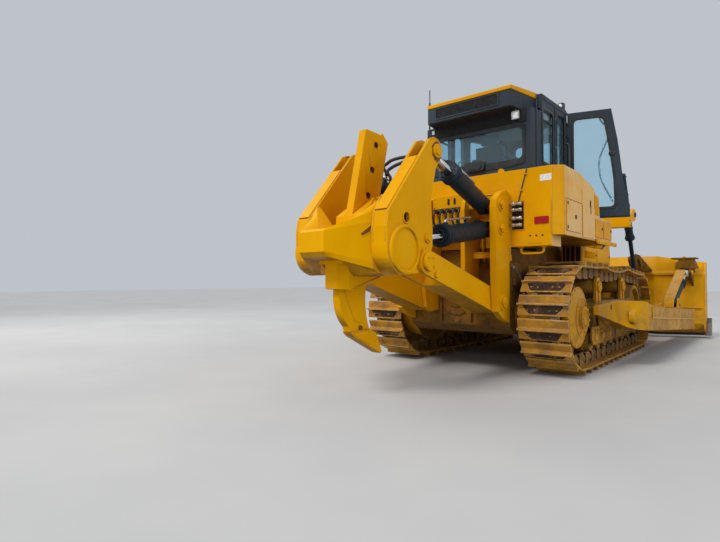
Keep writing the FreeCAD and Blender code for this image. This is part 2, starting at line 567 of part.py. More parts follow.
LIFT_Y, LIFT_EYE, LIFT_PIVOT = 1080.0, (5440.0, 1130.0), (4620.0, 2620.0)
TILT_Y, TILT_EYE, TILT_FOOT = 1970.0, (5560.0, 1420.0), (3980.0, 835.0)
brackets = []
for tag, side in SIDES:
    lift_ears, tilt_ears = [], []
    for k in (-1, 1):
        y0 = side * LIFT_Y + k * 95
        ear = plate("lift_ear%d_%s" % (k, tag), "XZ",
                    [(5210, 1700), ((5290, 1790), (5370, 1750)), (5790, 1490), (5640, 1395), (5640, 980), ((5330, 1120), (5400, 1300)), (5380, 1560)], y0 - 20, y0 + 20)
        lift_ears.append(ear)
        y0 = side * TILT_Y + k * 105
        dx = (abs(y0) - WING) / (HW - WING) * 400
        ear = plate("tilt_ear%d_%s" % (k, tag), "XZ",
                    [(5462, 1420), ((5500, 1505), (5580, 1530)), (5830 + dx, 1530), (5700 + dx, 1300), (5640 + dx, 1120), (5560, 1318)], y0 - 20, y0 + 20)
        tilt_ears.append(ear)
    # gusset across the lift ears, wider on its outer side
    lift_ears.append(plate("lift_gusset_" + tag, "YZ", [(side * y, z) for y, z in ((962, 1430), (962, 1660), (1060, 1850), (1140, 1822), (1392, 1470), (1362, 1430))], 5452, 5482))
    # hood over the tilt ears with a flat cap
    tilt_ears.append(plate("tilt_hood_" + tag, "YZ", [(side * y, z) for y, z in ((1800, 1512), (2190, 1512), (2110, 1716), (1880, 1716))], 5500, 5960))
    tilt_ears.append(plate("tilt_cap_" + tag, "YZ", [(side * y, z) for y, z in ((1735, 1712), (2180, 1712), (2180, 1740), (1735, 1740))], 5480, 5960))
    brackets.append(cut("lift_ears_cut_" + tag, fuse("lift_ears_" + tag, lift_ears), [BLADE]))
    brackets.append(cut("tilt_ears_cut_" + tag, fuse("tilt_ears_" + tag, tilt_ears), [BLADE]))
node(group("blade_brackets", brackets), "blade_brackets")

# push arm: box sections along x: x, inner y, outer y, bottom, top
ARM = ((110, 1640, 1700, 802, 918), (930, 1640, 1752, 640, 946), (985, 1640, 1850, 590, 955), (1050, 1640, 1935, 562, 962), (1140, 1640, 2010, 545, 962),
       (1250, 1640, 2060, 535, 948), (1360, 1640, 2080, 528, 915), (1460, 1640, 2080, 520, 888),
       (2700, 1655, 2100, 435, 802), (5550, 1680, 2140, 240, 655))
for tag, side in SIDES:
    secs = [[(x, side * yi, zl), (x, side * yo, zl), (x, side * yo, zh), (x, side * yi, zh)] for x, yi, yo, zl, zh in ARM]
    feet = [plate("tilt_foot%d_%s" % (k, tag), "XZ", [(3840, 700), (4110, 690), (4062, 850), ((3980, 925), (3898, 850))],
                  side * TILT_Y + k * 100 - 16, side * TILT_Y + k * 100 + 16) for k in (-1, 1)]
    side_piece(fuse("push_arm_" + tag, [loft("arm_beam_" + tag, secs)] + feet), "push_arms")


def along(a, b, dist):
    """Point on the x,z line from a to b, dist from a."""
    L = math.hypot(b[0] - a[0], b[1] - a[1])
    return (a[0] + (b[0] - a[0]) * dist / L, a[1] + (b[1] - a[1]) * dist / L)


def cylinder_pair(tag, y, foot, eye, back, reach, tail, r_out, r_rod, eye_r, eye_w):
    """Barrel (round tube closed at its back end) and rod with its eye, on one x,z line.
    back: how far the barrel reaches behind the foot pin; reach: barrel end from the
    foot pin; tail: where the rod starts inside."""
    def p(d):
        q = along(foot, eye, d)
        return (q[0], y, q[1])
    L = math.hypot(eye[0] - foot[0], eye[1] - foot[1])
    tube = rod("tube_" + tag, r_out, p(back), p(reach))
    gland = rod("gland_" + tag, r_out + 14, p(reach - 90), p(reach))
    bore = rod("bore_" + tag, r_rod + 4, p(back + 45), p(reach + 30))
    rod_bar = rod("bar_" + tag, r_rod, p(tail), p(L - eye_r * 0.55))
    ring = rod("eye_" + tag, eye_r, (eye[0], y - eye_w / 2, eye[1]), (eye[0], y + eye_w / 2, eye[1]))
    hole = rod("eyehole_" + tag, eye_r * 0.45, (eye[0], y - eye_w, eye[1]), (eye[0], y + eye_w, eye[1]))
    return tube, gland, bore, rod_bar, ring, hole


# blade lift cylinders hang in yokes on the radiator guard
barrels, rods = [], []
for tag, side in SIDES:
    y = side * LIFT_Y
    tube, gland, bore, bar, ring, hole = cylinder_pair("lift_" + tag, y, LIFT_PIVOT, LIFT_EYE, -900, 560, 60, 75, 42, 85, 120)
    collar = rod("lift_collar_" + tag, 98, (along(LIFT_PIVOT, LIFT_EYE, -70)[0], y, along(LIFT_PIVOT, LIFT_EYE, -70)[1]),
                 (along(LIFT_PIVOT, LIFT_EYE, 70)[0], y, along(LIFT_PIVOT, LIFT_EYE, 70)[1]))
    pin = rod("lift_pin_" + tag, 40, (LIFT_PIVOT[0], y - 150, LIFT_PIVOT[1]), (LIFT_PIVOT[0], y + 150, LIFT_PIVOT[1]))
    barrels.append(cut("lift_barrel_" + tag, fuse("lift_solid_" + tag, [tube, gland, collar, pin]), [bore]))
    rods.append(cut("lift_rod_" + tag, fuse("lift_rodsolid_" + tag, [bar, ring]), [hole]))
    ears = []
    for k in (-1, 1):
        ear = plate("yoke_ear%d_%s" % (k, tag), "XZ", [(4250, 2430), (4660, 2500), ((4730, 2620), (4620, 2730)), (4500, 2740), (4250, 2600)],
                    y + (110 if k > 0 else -150), y + (150 if k > 0 else -110))
        ears.append(ear)
    block = box("yoke_block_" + tag, (4080, 4300), (side * 722, side * 1230), (2330, 2600))
    bores = rod("yoke_bore_" + tag, 42, (LIFT_PIVOT[0], y - 200, LIFT_PIVOT[1]), (LIFT_PIVOT[0], y + 200, LIFT_PIVOT[1]))
    side_piece(cut("lift_yoke_" + tag, fuse("yoke_solid_" + tag, ears + [block]), [bores]), "lift_yokes")
node(group("blade_lift_barrels", barrels), "blade_lift_barrels")
node(group("blade_lift_rods", rods), "blade_lift_rods")

# blade tilt cylinders between the push arms and the blade
barrels, rods = [], []
for tag, side in SIDES:
    y = side * TILT_Y
    tube, gland, bore, bar, ring, hole = cylinder_pair("tilt_" + tag, y, TILT_FOOT, TILT_EYE, 50, 1090, 800, 78, 46, 82, 150)
    foot_eye = rod("tilt_footeye_" + tag, 78, (TILT_FOOT[0], y - 72, TILT_FOOT[1]), (TILT_FOOT[0], y + 72, TILT_FOOT[1]))
    barrels.append(cut("tilt_barrel_" + tag, fuse("tilt_solid_" + tag, [tube, gland, foot_eye]), [bore]))
    rods.append(cut("tilt_rod_" + tag, fuse("tilt_rodsolid_" + tag, [bar, ring]), [hole]))
node(group("blade_tilt_barrels", barrels), "blade_tilt_barrels")
node(group("blade_tilt_rods", rods), "blade_tilt_rods")

# ---- ripper ----------------------------------------------------------------
ARM_PIN = (-790.0, 975.0)                     # lower arm on the machine
BEAM_PIN = (-2454.0, 1455.0)                  # lower arm on the beam
PITCH_FOOT, PITCH_EYE = (-860.0, 2235.0), (-2195.0, 2690.0)
RAISE_FOOT, RAISE_EYE = (-860.0, 1930.0), (-2395.0, 1715.0)
CYL_Y = 553.5

# posts on the back of the machine: outer and inner plate, cross bars and the pins
POST = [(-560, 2400), (-700, 2450), (-860, 2400), (-985, 2300), (-1010, 2200), (-1000, 1300), (-985, 1080), (-965, 860), (-820, 765), (-605, 690), (-605, 1505), (-560, 1515)]
POST_IN = POST[:6] + [(-985, 1080), (-950, 885), (-850, 815), (-605, 835), (-605, 1505), (-560, 1515)]
for tag, side in SIDES:
    outer = plate("post_outer_" + tag, "XZ", POST, min(side * 705, side * 790), max(side * 705, side * 790))
    inner = plate("post_inner_" + tag, "XZ", POST_IN, min(side * 285, side * 345), max(side * 285, side * 345))
    bars = [box("post_bar%d_%s" % (i, tag), (-760, -660), (side * 340, side * 710), (z, z + 70)) for i, z in enumerate((1560, 2330))]
    pinned = [rod("post_pin%d_%s" % (i, tag), r, (p[0], side * 280, p[1]), (p[0], side * 815, p[1]))
              for i, (p, r) in enumerate(((ARM_PIN, 58), (PITCH_FOOT, 45), (RAISE_FOOT, 45)))]
    side_piece(fuse("ripper_post_" + tag, [outer, inner] + bars + pinned), "ripper_posts")

# lower arms: forked at the back round the bracket's ears
u = ((BEAM_PIN[0] - ARM_PIN[0]), (BEAM_PIN[1] - ARM_PIN[1]))
LA = math.hypot(*u)
u = (u[0] / LA, u[1] / LA)
nrm = (-u[1], u[0]) if u[0] > 0 else (u[1], -u[0])       # upward normal


def off(p, a, n):
    return (p[0] + u[0] * a + nrm[0] * n, p[1] + u[1] * a + nrm[1] * n)


RA, RB = 150.0, 135.0
ARM_OUT = [off(ARM_PIN, 0, RA), (off(ARM_PIN, -RA, 0), off(ARM_PIN, 0, -RA)), off(BEAM_PIN, 0, -RB), (off(BEAM_PIN, RB, 0), off(BEAM_PIN, 0, RB))]
for tag, side in SIDES:
    y0, y1 = sorted((side * 352, side * 698))
    beam = plate("rip_arm_beam_" + tag, "XZ", ARM_OUT, y0, y1)
    gap = [off(BEAM_PIN, 400, -400), off(BEAM_PIN, -430, -400), off(BEAM_PIN, -430, 400), off(BEAM_PIN, 400, 400)]
    g0, g1 = sorted((side * 392, side * 660))
    slot = plate("rip_arm_slot_" + tag, "XZ", gap, g0, g1)
    holes = [rod("rip_arm_bore%d_%s" % (i, tag), 60, (p[0], side * 300, p[1]), (p[0], side * 760, p[1])) for i, p in enumerate((ARM_PIN, BEAM_PIN))]
    side_piece(cut("ripper_arm_" + tag, beam, [slot] + holes), "ripper_arms")
pins_list = []
for tag, side in SIDES:
    shaft = rod("rip_pin_shaft_" + tag, 58, (BEAM_PIN[0], side * 340, BEAM_PIN[1]), (BEAM_PIN[0], side * 725, BEAM_PIN[1]))
    head = rod("rip_pin_head_" + tag, 100, (BEAM_PIN[0], side * 704, BEAM_PIN[1]), (BEAM_PIN[0], side * 730, BEAM_PIN[1]))
    pins_list.append(fuse("rip_pin_" + tag, [shaft, head]))
node(group("ripper_pins", pins_list), "ripper_pins")

# beam: sections across the machine; the middle is deeper and holds the pocket
def beam_section(y, back, front, low, top):
    c, d = 0.30 * (top - low), 0.25 * (front - back)
    return [(back, y, low + c), (back, y, top - c), (back + d * 0.7, y, top), (front - 60, y, top), (front, y, top - 60), (front, y, low + 60), (front - 60, y, low), (back + d, y, low)]


LEAN = math.radians(D["shank_lean"])
P0 = (-2590.0, 2505.0)                        # middle pin hole of the shank


def shank_pt(down, back):
    """Point in the shank's own frame: down its length from P0, back across it."""
    return (P0[0] - math.sin(LEAN) * down - math.cos(LEAN) * back, P0[1] - math.cos(LEAN) * down + math.sin(LEAN) * back)


W = D["shank_half_width"]
# y, back, front, low, top of the beam
HALF_BEAM = ((455, -3000, -2640, 1335, 1826), (335, -3100, -2630, 1325, 1825), (175, -3200, -2530, 1300, 1820))
BEAM = tuple((-row[0],) + row[1:] for row in HALF_BEAM) + tuple(reversed(HALF_BEAM))
beam = loft("beam_loft", [beam_section(*row) for row in BEAM])
cheek = plate("pocket_cheek", "XZ", [(-3203, 1170), (-3060, 1160), (-2799, 1235), (-2590, 1290), (-2490, 1600), (-2395, 2100), (-2425, 2250), (-2655, 2149), (-2954, 1954), (-2965, 1852), (-3205, 1800), (-3212, 1423)], -160, 160)
# bowed back of the beam: a push block in the middle, its sides rising to the brackets
def bow_section(y, rows):
    return [(x, y, z) for x, z in rows]


BOW_END = [(-3000, 1334), (-3058, 1372), (-3074, 1440), (-3074, 1850), (-3040, 1960), (-2960, 2095), (-2905, 2095), (-2880, 1334)]
BOW_MID = [(-3330, 1478), (-3455, 1492), (-3490, 1540), (-3490, 1742), (-3466, 1768), (-3220, 1800), (-2940, 1800), (-2940, 1440)]
bow = loft("beam_bow", [bow_section(-455, BOW_END), bow_section(-172, BOW_MID), bow_section(172, BOW_MID), bow_section(455, BOW_END)])
slot = plate("pocket_slot", "XZ", [shank_pt(-700, -W - 10), shank_pt(1700, -W - 10), shank_pt(1700, W + 10), shank_pt(-700, W + 10)], -56, 56)
corners = [plate("pocket_corner_" + t, "XY", [(-3260, side * 170), (-3260, side * 75), (-3215, side * 75), (-3090, side * 170)], 1100, 1425) for t, side in SIDES]
node(cut("ripper_beam", fuse("beam_solid", [beam, cheek, bow]), [slot] + corners), "ripper_beam")

# bracket at each end: two plates with the sloping back plate between them
BRACKET = [(-2890, 1315), (-2560, 1335), (-2490, 1332), ((-2335, 1420), (-2345, 1530)), (-2290, 1620), (-2285, 1830), (-2320, 2135), (-2215, 2500), (-2090, 2650),
           ((-2120, 2790), (-2260, 2830)), (-2345, 2800), (-3080, 1940), (-3105, 1790), (-3100, 1640), ((-3045, 1430), (-2890, 1315))][:-1]
BACKING = [(-2560, 1335), (-2890, 1315), ((-3045, 1430), (-3100, 1640)), (-3105, 1790), (-3080, 1940), (-2540, 2572), (-2513, 2548), (-3045, 1922), (-3070, 1790),
           (-3066, 1645), ((-3018, 1456), (-2884, 1350)), (-2560, 1370)]
for tag, side in SIDES:
    plates = []
    for k, (a, b) in enumerate(((618, 652), (455, 489))):
        y0, y1 = sorted((side * a, side * b))
        plates.append(plate("bracket_plate%d_%s" % (k, tag), "XZ", BRACKET, y0, y1))
    y0, y1 = sorted((side * 455, side * 652))
    plates.append(plate("bracket_back_" + tag, "XZ", BACKING, y0, y1))
    y0, y1 = sorted((side * 650, side * 668))
    plates.append(rod("bracket_cover_" + tag, 250, (-2830, side * 645, 1573), (-2830, side * 688, 1573)))
    tools = [rod("bracket_bore_" + tag, 60, (BEAM_PIN[0], side * 380, BEAM_PIN[1]), (BEAM_PIN[0], side * 700, BEAM_PIN[1])),
             rod("bracket_hole_" + tag, 50, (-2785, side * 590, 1900), (-2785, side * 700, 1900)),
             rod("bracket_dish_" + tag, 214, (-2830, side * 672, 1573), (-2830, side * 720, 1573))]
    side_piece(cut("ripper_bracket_" + tag, fuse("bracket_solid_" + tag, plates), tools), "ripper_brackets")

# shank and its tip
SHANK = [shank_pt(-405, W), shank_pt(1435, W), ((-3098, 930), (-2984, 768)), (-2958, 706), (-2640, 722), ((-2692, 890), shank_pt(1330, -W)),
         shank_pt(-418, -W), shank_pt(-490, -W + 120), shank_pt(-450, -W + 150), shank_pt(-450, -W + 190)]
body = plate("shank_blank", "XZ", SHANK, -50, 50)
holes = [rod("shank_hole%d" % i, 32, (shank_pt(d, 0)[0], -80, shank_pt(d, 0)[1]), (shank_pt(d, 0)[0], 80, shank_pt(d, 0)[1])) for i, d in enumerate((-302, 0, 306))]
node(cut("ripper_shank", body, holes), "ripper_shank")
node(plate("ripper_tip", "XZ", [(-2962, 700), (-2904, 652), (-2452, 430), (-2430, 448), (-2534, 668), (-2636, 716)], -62, 62), "ripper_tip")

# pitch (upper) and raise (lower) cylinders of the ripper
for label, foot, eye, reach, tail, r_out, r_rod in (("pitch", PITCH_FOOT, PITCH_EYE, 960, 420, 112, 57), ("raise", RAISE_FOOT, RAISE_EYE, 1130, 420, 118, 58)):
    barrels, rods = [], []
    for tag, side in SIDES:
        y = side * CYL_Y
        tube, gland, bore, bar, ring, hole = cylinder_pair("%s_%s" % (label, tag), y, foot, eye, 70, reach, tail, r_out, r_rod, 92, 104)
        foot_eye = rod("%s_footeye_%s" % (label, tag), 105, (foot[0], y - 60, foot[1]), (foot[0], y + 60, foot[1]))
        foot_bore = rod("%s_footbore_%s" % (label, tag), 47, (foot[0], y - 150, foot[1]), (foot[0], y + 150, foot[1]))
        barrels.append(cut("%s_barrel_%s" % (label, tag), fuse("%s_solid_%s" % (label, tag), [tube, gland, foot_eye]), [bore, foot_bore]))
        rods.append(cut("%s_rod_%s" % (label, tag), fuse("%s_rodsolid_%s" % (label, tag), [bar, ring]), [hole]))
    node(group("ripper_%s_barrels" % label, barrels), "ripper_%s_barrels" % label)
    node(group("ripper_%s_rods" % label, rods), "ripper_%s_rods" % label)

for label, obs in PAIRS.items():
    node(group(label, obs), label)

# ---- recompute, test, write ------------------------------------------------
doc.recompute()
bad = [o.Name for o in doc.Objects if any(s in ("Invalid", "Error") for s in o.State)]
if bad:
    raise RuntimeError("failed objects: " + ", ".join(bad))
wrong = [ob.Label for ob in NODES if ob.Shape.isNull() or not ob.Shape.isValid() or not ob.Shape.Solids]
if wrong:
    raise RuntimeError("bad shapes: " + ", ".join(wrong))
lows, highs = [1e9] * 3, [-1e9] * 3
for ob in NODES:
    b = ob.Shape.BoundBox
    for i, (a, c) in enumerate(((b.XMin, b.XMax), (b.YMin, b.YMax), (b.ZMin, b.ZMax))):
        lows[i], highs[i] = min(lows[i], a), max(highs[i], c)
print("nodes", len(NODES), "box", [round(v, 1) for v in lows], [round(v, 1) for v in highs])
os.makedirs("parts", exist_ok=True)
for ob in NODES:
    ob.Shape.exportStep("parts/" + ob.Label + ".step")
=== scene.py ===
import bpy, bmesh, math, random
import numpy as np
from mathutils import Vector, Matrix


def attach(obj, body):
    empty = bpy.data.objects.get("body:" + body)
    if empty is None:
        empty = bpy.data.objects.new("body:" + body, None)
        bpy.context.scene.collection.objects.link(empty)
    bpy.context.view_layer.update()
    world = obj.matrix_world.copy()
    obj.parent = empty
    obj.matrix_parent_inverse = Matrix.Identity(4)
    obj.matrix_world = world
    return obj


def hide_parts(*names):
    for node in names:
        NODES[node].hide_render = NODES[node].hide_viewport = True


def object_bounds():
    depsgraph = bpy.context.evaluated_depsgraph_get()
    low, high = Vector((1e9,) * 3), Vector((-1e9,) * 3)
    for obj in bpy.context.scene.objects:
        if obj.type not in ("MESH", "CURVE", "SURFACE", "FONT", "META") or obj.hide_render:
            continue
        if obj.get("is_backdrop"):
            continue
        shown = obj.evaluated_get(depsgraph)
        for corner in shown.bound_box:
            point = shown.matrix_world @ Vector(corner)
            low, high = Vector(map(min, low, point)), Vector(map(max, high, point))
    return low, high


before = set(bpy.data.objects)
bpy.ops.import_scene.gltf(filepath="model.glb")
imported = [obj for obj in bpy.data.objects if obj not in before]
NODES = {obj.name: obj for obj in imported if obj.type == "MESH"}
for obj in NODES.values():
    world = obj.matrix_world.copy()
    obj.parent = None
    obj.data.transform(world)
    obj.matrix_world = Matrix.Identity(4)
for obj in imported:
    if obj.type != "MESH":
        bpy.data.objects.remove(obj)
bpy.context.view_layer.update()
SCENE = bpy.context.scene

# All lengths in metres. Helper X() turns a length counted from the sprocket axle
# into the frame's own x.
SHIFT = -1.508


def X(x):
    return x + SHIFT


# ---------------------------------------------------------------- camera, floor, lights
HEADING, PITCH = math.radians(40.44), math.radians(1.07)
forward = Vector((math.cos(HEADING) * math.cos(PITCH), math.sin(HEADING) * math.cos(PITCH), math.sin(PITCH)))
cam = bpy.data.objects.new("camera", bpy.data.cameras.new("camera"))
SCENE.collection.objects.link(cam)
cam.data.sensor_width = 36.0
cam.data.lens = 24.82
cam.location = (X(-6.92), -3.56, 1.26)
cam.rotation_mode = "QUATERNION"
cam.rotation_quaternion = forward.to_track_quat("-Z", "Y")
cam.data.clip_start, cam.data.clip_end = 0.1, 400.0
SCENE.camera = cam
SCENE.view_settings.view_transform = "Standard"
SCENE.view_settings.look = "None"


# ---------------------------------------------------------------- node helpers
class Tree:
    """Small helper for building a material's node tree."""

    def __init__(self, name):
        self.mat = bpy.data.materials.new(name)
        self.mat.use_nodes = True
        self.t = self.mat.node_tree
        self.t.nodes.clear()
        self.out = self.add("ShaderNodeOutputMaterial")
        self.bsdf = self.add("ShaderNodeBsdfPrincipled")
        self.link(self.bsdf.outputs[0], self.out.inputs["Surface"])

    def add(self, kind, **props):
        n = self.t.nodes.new(kind)
        for k, v in props.items():
            setattr(n, k, v)
        return n

    def link(self, a, b):
        self.t.links.new(a, b)

    def put(self, socket, value):
        if hasattr(value, "is_linked") or hasattr(value, "node"):
            self.link(value, socket)
        else:
            socket.default_value = value

    def coords(self):
        if not hasattr(self, "_co"):
            self._co = self.add("ShaderNodeTexCoord").outputs["Object"]
        return self._co

    def scaled(self, sx, sy, sz):
        m = self.add("ShaderNodeMapping")
        m.inputs["Scale"].default_value = (sx, sy, sz)
        self.link(self.coords(), m.inputs["Vector"])
        return m.outputs[0]

    def noise(self, scale, detail=3.0, rough=0.55, vec=None, out="Fac", dist=0.0):
        n = self.add("ShaderNodeTexNoise")
        n.inputs["Scale"].default_value = scale
        n.inputs["Detail"].default_value = detail
        n.inputs["Roughness"].default_value = rough
        n.inputs["Distortion"].default_value = dist
        self.link(vec if vec is not None else self.coords(), n.inputs["Vector"])
        return n.outputs[out]

    def voronoi(self, scale, feature="F1", vec=None, out="Distance"):
        n = self.add("ShaderNodeTexVoronoi", feature=feature)
        n.inputs["Scale"].default_value = scale
        self.link(vec if vec is not None else self.coords(), n.inputs["Vector"])
        return n.outputs[out]

    def ramp(self, fac, lo, hi, a=0.0, b=1.0):
        """Smooth step of fac between lo and hi, from a to b."""
        n = self.add("ShaderNodeMapRange", interpolation_type="SMOOTHSTEP")
        self.put(n.inputs["Value"], fac)
        n.inputs["From Min"].default_value = lo
        n.inputs["From Max"].default_value = hi
        n.inputs["To Min"].default_value = a
        n.inputs["To Max"].default_value = b
        return n.outputs[0]

    def math(self, op, a, b=0.0, clamp=False):
        n = self.add("ShaderNodeMath", operation=op)
        n.use_clamp = clamp
        self.put(n.inputs[0], a)
        self.put(n.inputs[1], b)
        return n.outputs[0]

    def mix(self, fac, a, b, mode="MIX"):
        n = self.add("ShaderNodeMix", data_type="RGBA", blend_type=mode)
        n.clamp_factor = True
        self.put(n.inputs[0], fac)
        for socket, v in ((n.inputs[6], a), (n.inputs[7], b)):
            if isinstance(v, (tuple, list)):
                socket.default_value = (v[0], v[1], v[2], 1.0)
            else:
                self.link(v, socket)
        return n.outputs[2]

    def axis(self, which, source="Position"):
        """One component of the object's own coordinates or of the surface normal."""
        s = self.add("ShaderNodeSeparateXYZ")
        if source == "Normal":
            g = self.add("ShaderNodeNewGeometry")
            self.link(g.outputs["Normal"], s.inputs[0])
        else:
            self.link(self.coords(), s.inputs[0])
        return s.outputs[which]

    def edges(self, radius):
        """1 on sharp convex edges and in corners, 0 on flat areas."""
        b = self.add("ShaderNodeBevel", samples=4)
        b.inputs["Radius"].default_value = radius
        g = self.add("ShaderNodeNewGeometry")
        d = self.add("ShaderNodeVectorMath", operation="DOT_PRODUCT")
        self.link(b.outputs[0], d.inputs[0])
        self.link(g.outputs["Normal"], d.inputs[1])
        return self.ramp(d.outputs["Value"], 0.995, 0.90)

    def bump(self, height, strength, distance=0.01, chain=None):
        n = self.add("ShaderNodeBump")
        n.inputs["Strength"].default_value = strength
        n.inputs["Distance"].default_value = distance
        self.link(height, n.inputs["Height"])
        if chain is not None:
            self.link(chain, n.inputs["Normal"])
        return n.outputs[0]


def paint(name, base, deep, rough=0.36, dust=0.25, mud=0.0, mud_top=1.2, wear=0.35, coat=0.10,
          dust_col=(0.42, 0.30, 0.16), mud_col=(0.30, 0.20, 0.09), wear_col=(0.16, 0.10, 0.06), streak=0.25, patch=0.0, spec=0.5, side=0.0, under_shade=0.0):
    """Machine paint: two tones, fine mottling, rain streaks, dust on ledges,
    mud near the ground, worn edges and a fine orange-peel bump; painted shade on
    downward faces and painted sunlit paleness with dust on faces turned to -y."""
    t = Tree(name)
    big = t.noise(0.9, 4.0, 0.6)
    fine = t.noise(14.0, 5.0, 0.65)
    col = t.mix(t.ramp(big, 0.35, 0.68), base, deep)
    col = t.mix(t.ramp(fine, 0.40, 0.78, 0.0, 0.22), col, deep)
    if patch:
        blot = t.noise(2.6, 5.0, 0.7, dist=0.6)
        col = t.mix(t.ramp(blot, 0.56, 0.66, 0.0, patch), col, dust_col)
    rough_v = t.ramp(fine, 0.2, 0.9, rough - 0.06, rough + 0.14)
    if streak:
        runs = t.noise(1.0, 4.0, 0.6, vec=t.scaled(9.0, 9.0, 0.55))
        col = t.mix(t.ramp(runs, 0.55, 0.78, 0.0, streak), col, tuple(0.55 * c + 0.45 * d for c, d in zip(deep, dust_col)))
    # painted light mixed with dust: faces turned to -y paled towards sunlit beige, blotched by noise
    if side:
        lit_side_dust_mask = t.math("MULTIPLY", t.ramp(t.axis(1, "Normal"), -0.55, -0.95), t.ramp(t.noise(1.7, 5.0, 0.7), 0.30, 0.62, 0.45, 1.0))
        col = t.mix(t.math("MULTIPLY", lit_side_dust_mask, side, clamp=True), col, (0.78, 0.52, 0.24))
    # painted shade: downward faces darkened to dark brown, blotched by noise
    if under_shade:
        under_shade_mask = t.math("MULTIPLY", t.ramp(t.axis(2, "Normal"), -0.30, -0.80), t.ramp(t.noise(2.4, 5.0, 0.7), 0.25, 0.60, 0.65, 1.0))
        col = t.mix(t.math("MULTIPLY", under_shade_mask, under_shade, clamp=True), col, (0.105, 0.054, 0.014))
    up = t.ramp(t.axis(2, "Normal"), 0.55, 0.98)
    lay = t.math("MULTIPLY", up, t.ramp(t.noise(3.2, 5.0, 0.7), 0.30, 0.62, 0.25, 1.0))
    dusty = t.math("MULTIPLY", lay, dust, clamp=True)
    col = t.mix(dusty, col, dust_col)
    if mud:
        low = t.ramp(t.axis(2), mud_top, mud_top - 0.9)
        spots = t.ramp(t.noise(5.5, 6.0, 0.72, dist=0.4), 0.44, 0.60)
        fac = t.math("MULTIPLY", t.math("MULTIPLY", low, spots), mud, clamp=True)
        col = t.mix(fac, col, mud_col)
        rough_v = t.math("ADD", rough_v, t.math("MULTIPLY", fac, 0.4), clamp=True)
    if wear:
        chips = t.ramp(t.noise(22.0, 4.0, 0.7), 0.50, 0.60)
        e = t.math("MULTIPLY", t.math("MULTIPLY", t.edges(0.012), chips), wear, clamp=True)
        col = t.mix(e, col, wear_col)
    t.link(col, t.bsdf.inputs["Base Color"])
    t.link(rough_v, t.bsdf.inputs["Roughness"])
    t.bsdf.inputs["Coat Weight"].default_value = coat
    t.bsdf.inputs["Coat Roughness"].default_value = 0.18
    t.bsdf.inputs["Specular IOR Level"].default_value = spec
    if base[0] > 0.25:
        t.bsdf.inputs["Specular Tint"].default_value = (1.0, 0.72, 0.25, 1.0)
    b = t.bump(t.noise(120.0, 2.0, 0.5), 0.05, 0.002)
    b = t.bump(t.noise(2.2, 2.0, 0.5), 0.12, 0.01, chain=b)
    t.link(b, t.bsdf.inputs["Normal"])
    return t.mat


def steel(name, base, deep, rough=0.5, metallic=0.6, grain=40.0, bump=0.2, patch_col=None, patch=0.0):
    """Bare or blackened steel with cloudy tone and fine grain."""
    t = Tree(name)
    col = t.mix(t.ramp(t.noise(3.0, 5.0, 0.65), 0.35, 0.7), base, deep)
    col = t.mix(t.ramp(t.noise(grain, 4.0, 0.6), 0.45, 0.8, 0.0, 0.4), col, deep)
    if patch_col:
        col = t.mix(t.ramp(t.noise(6.0, 6.0, 0.7, dist=0.5), 0.50, 0.64, 0.0, patch), col, patch_col)
    t.link(col, t.bsdf.inputs["Base Color"])
    t.link(t.ramp(t.noise(18.0, 4.0, 0.6), 0.3, 0.8, rough - 0.1, rough + 0.15), t.bsdf.inputs["Roughness"])
    t.bsdf.inputs["Metallic"].default_value = metallic
    t.link(t.bump(t.noise(grain * 1.5, 4.0, 0.6), bump, 0.003), t.bsdf.inputs["Normal"])
    return t.mat


def track_metal(name, base, worn, mud_a, mud_b, mud=0.85, up=False):
    """Track steel under dried ochre mud, scraped bright on its raised edges."""
    t = Tree(name)
    col = t.mix(t.ramp(t.noise(7.0, 5.0, 0.65), 0.35, 0.7), base, tuple(0.55 * c for c in base))
    muds = t.mix(t.ramp(t.noise(4.0, 6.0, 0.7), 0.40, 0.65), mud_a, mud_b)
    muds = t.mix(t.ramp(t.noise(30.0, 4.0, 0.7), 0.45, 0.75, 0.0, 0.5), muds, tuple(0.6 * c for c in mud_b))
    where = t.ramp(t.noise(3.4, 6.0, 0.7, dist=0.5), 0.36, 0.52)
    fac = t.math("MULTIPLY", where, mud, clamp=True)
    col = t.mix(fac, col, muds)
    e = t.math("MULTIPLY", t.edges(0.014), t.ramp(t.noise(16.0, 3.0, 0.6), 0.36, 0.56), clamp=True)
    col = t.mix(t.math("MULTIPLY", e, 0.75), col, worn)
    t.link(col, t.bsdf.inputs["Base Color"])
    t.link(t.ramp(fac, 0.0, 0.8, 0.48, 0.88), t.bsdf.inputs["Roughness"])
    t.bsdf.inputs["Metallic"].default_value = 0.15
    b = t.bump(t.noise(26.0, 6.0, 0.72), 0.55, 0.012)
    b = t.bump(t.noise(8.0, 4.0, 0.6), 0.35, 0.02, chain=b)
    t.link(b, t.bsdf.inputs["Normal"])
    return t.mat


def chrome(name):
    t = Tree(name)
    t.link(t.mix(t.ramp(t.noise(3.0, 4.0, 0.6), 0.4, 0.7), (0.72, 0.73, 0.76), (0.55, 0.56, 0.60)), t.bsdf.inputs["Base Color"])
    t.link(t.ramp(t.noise(60.0, 3.0, 0.6), 0.3, 0.8, 0.10, 0.26), t.bsdf.inputs["Roughness"])
    t.bsdf.inputs["Metallic"].default_value = 1.0
    return t.mat


def rubber(name, base=(0.018, 0.018, 0.020), rough=0.5, dust=(0.12, 0.10, 0.08), weave=180.0):
    t = Tree(name)
    col = t.mix(t.ramp(t.noise(9.0, 5.0, 0.7), 0.45, 0.72, 0.0, 0.45), base, dust)
    t.link(col, t.bsdf.inputs["Base Color"])
    t.link(t.ramp(t.noise(30.0, 3.0, 0.6), 0.3, 0.8, rough - 0.08, rough + 0.18), t.bsdf.inputs["Roughness"])
    t.link(t.bump(t.noise(weave, 2.0, 0.5), 0.15, 0.001), t.bsdf.inputs["Normal"])
    return t.mat


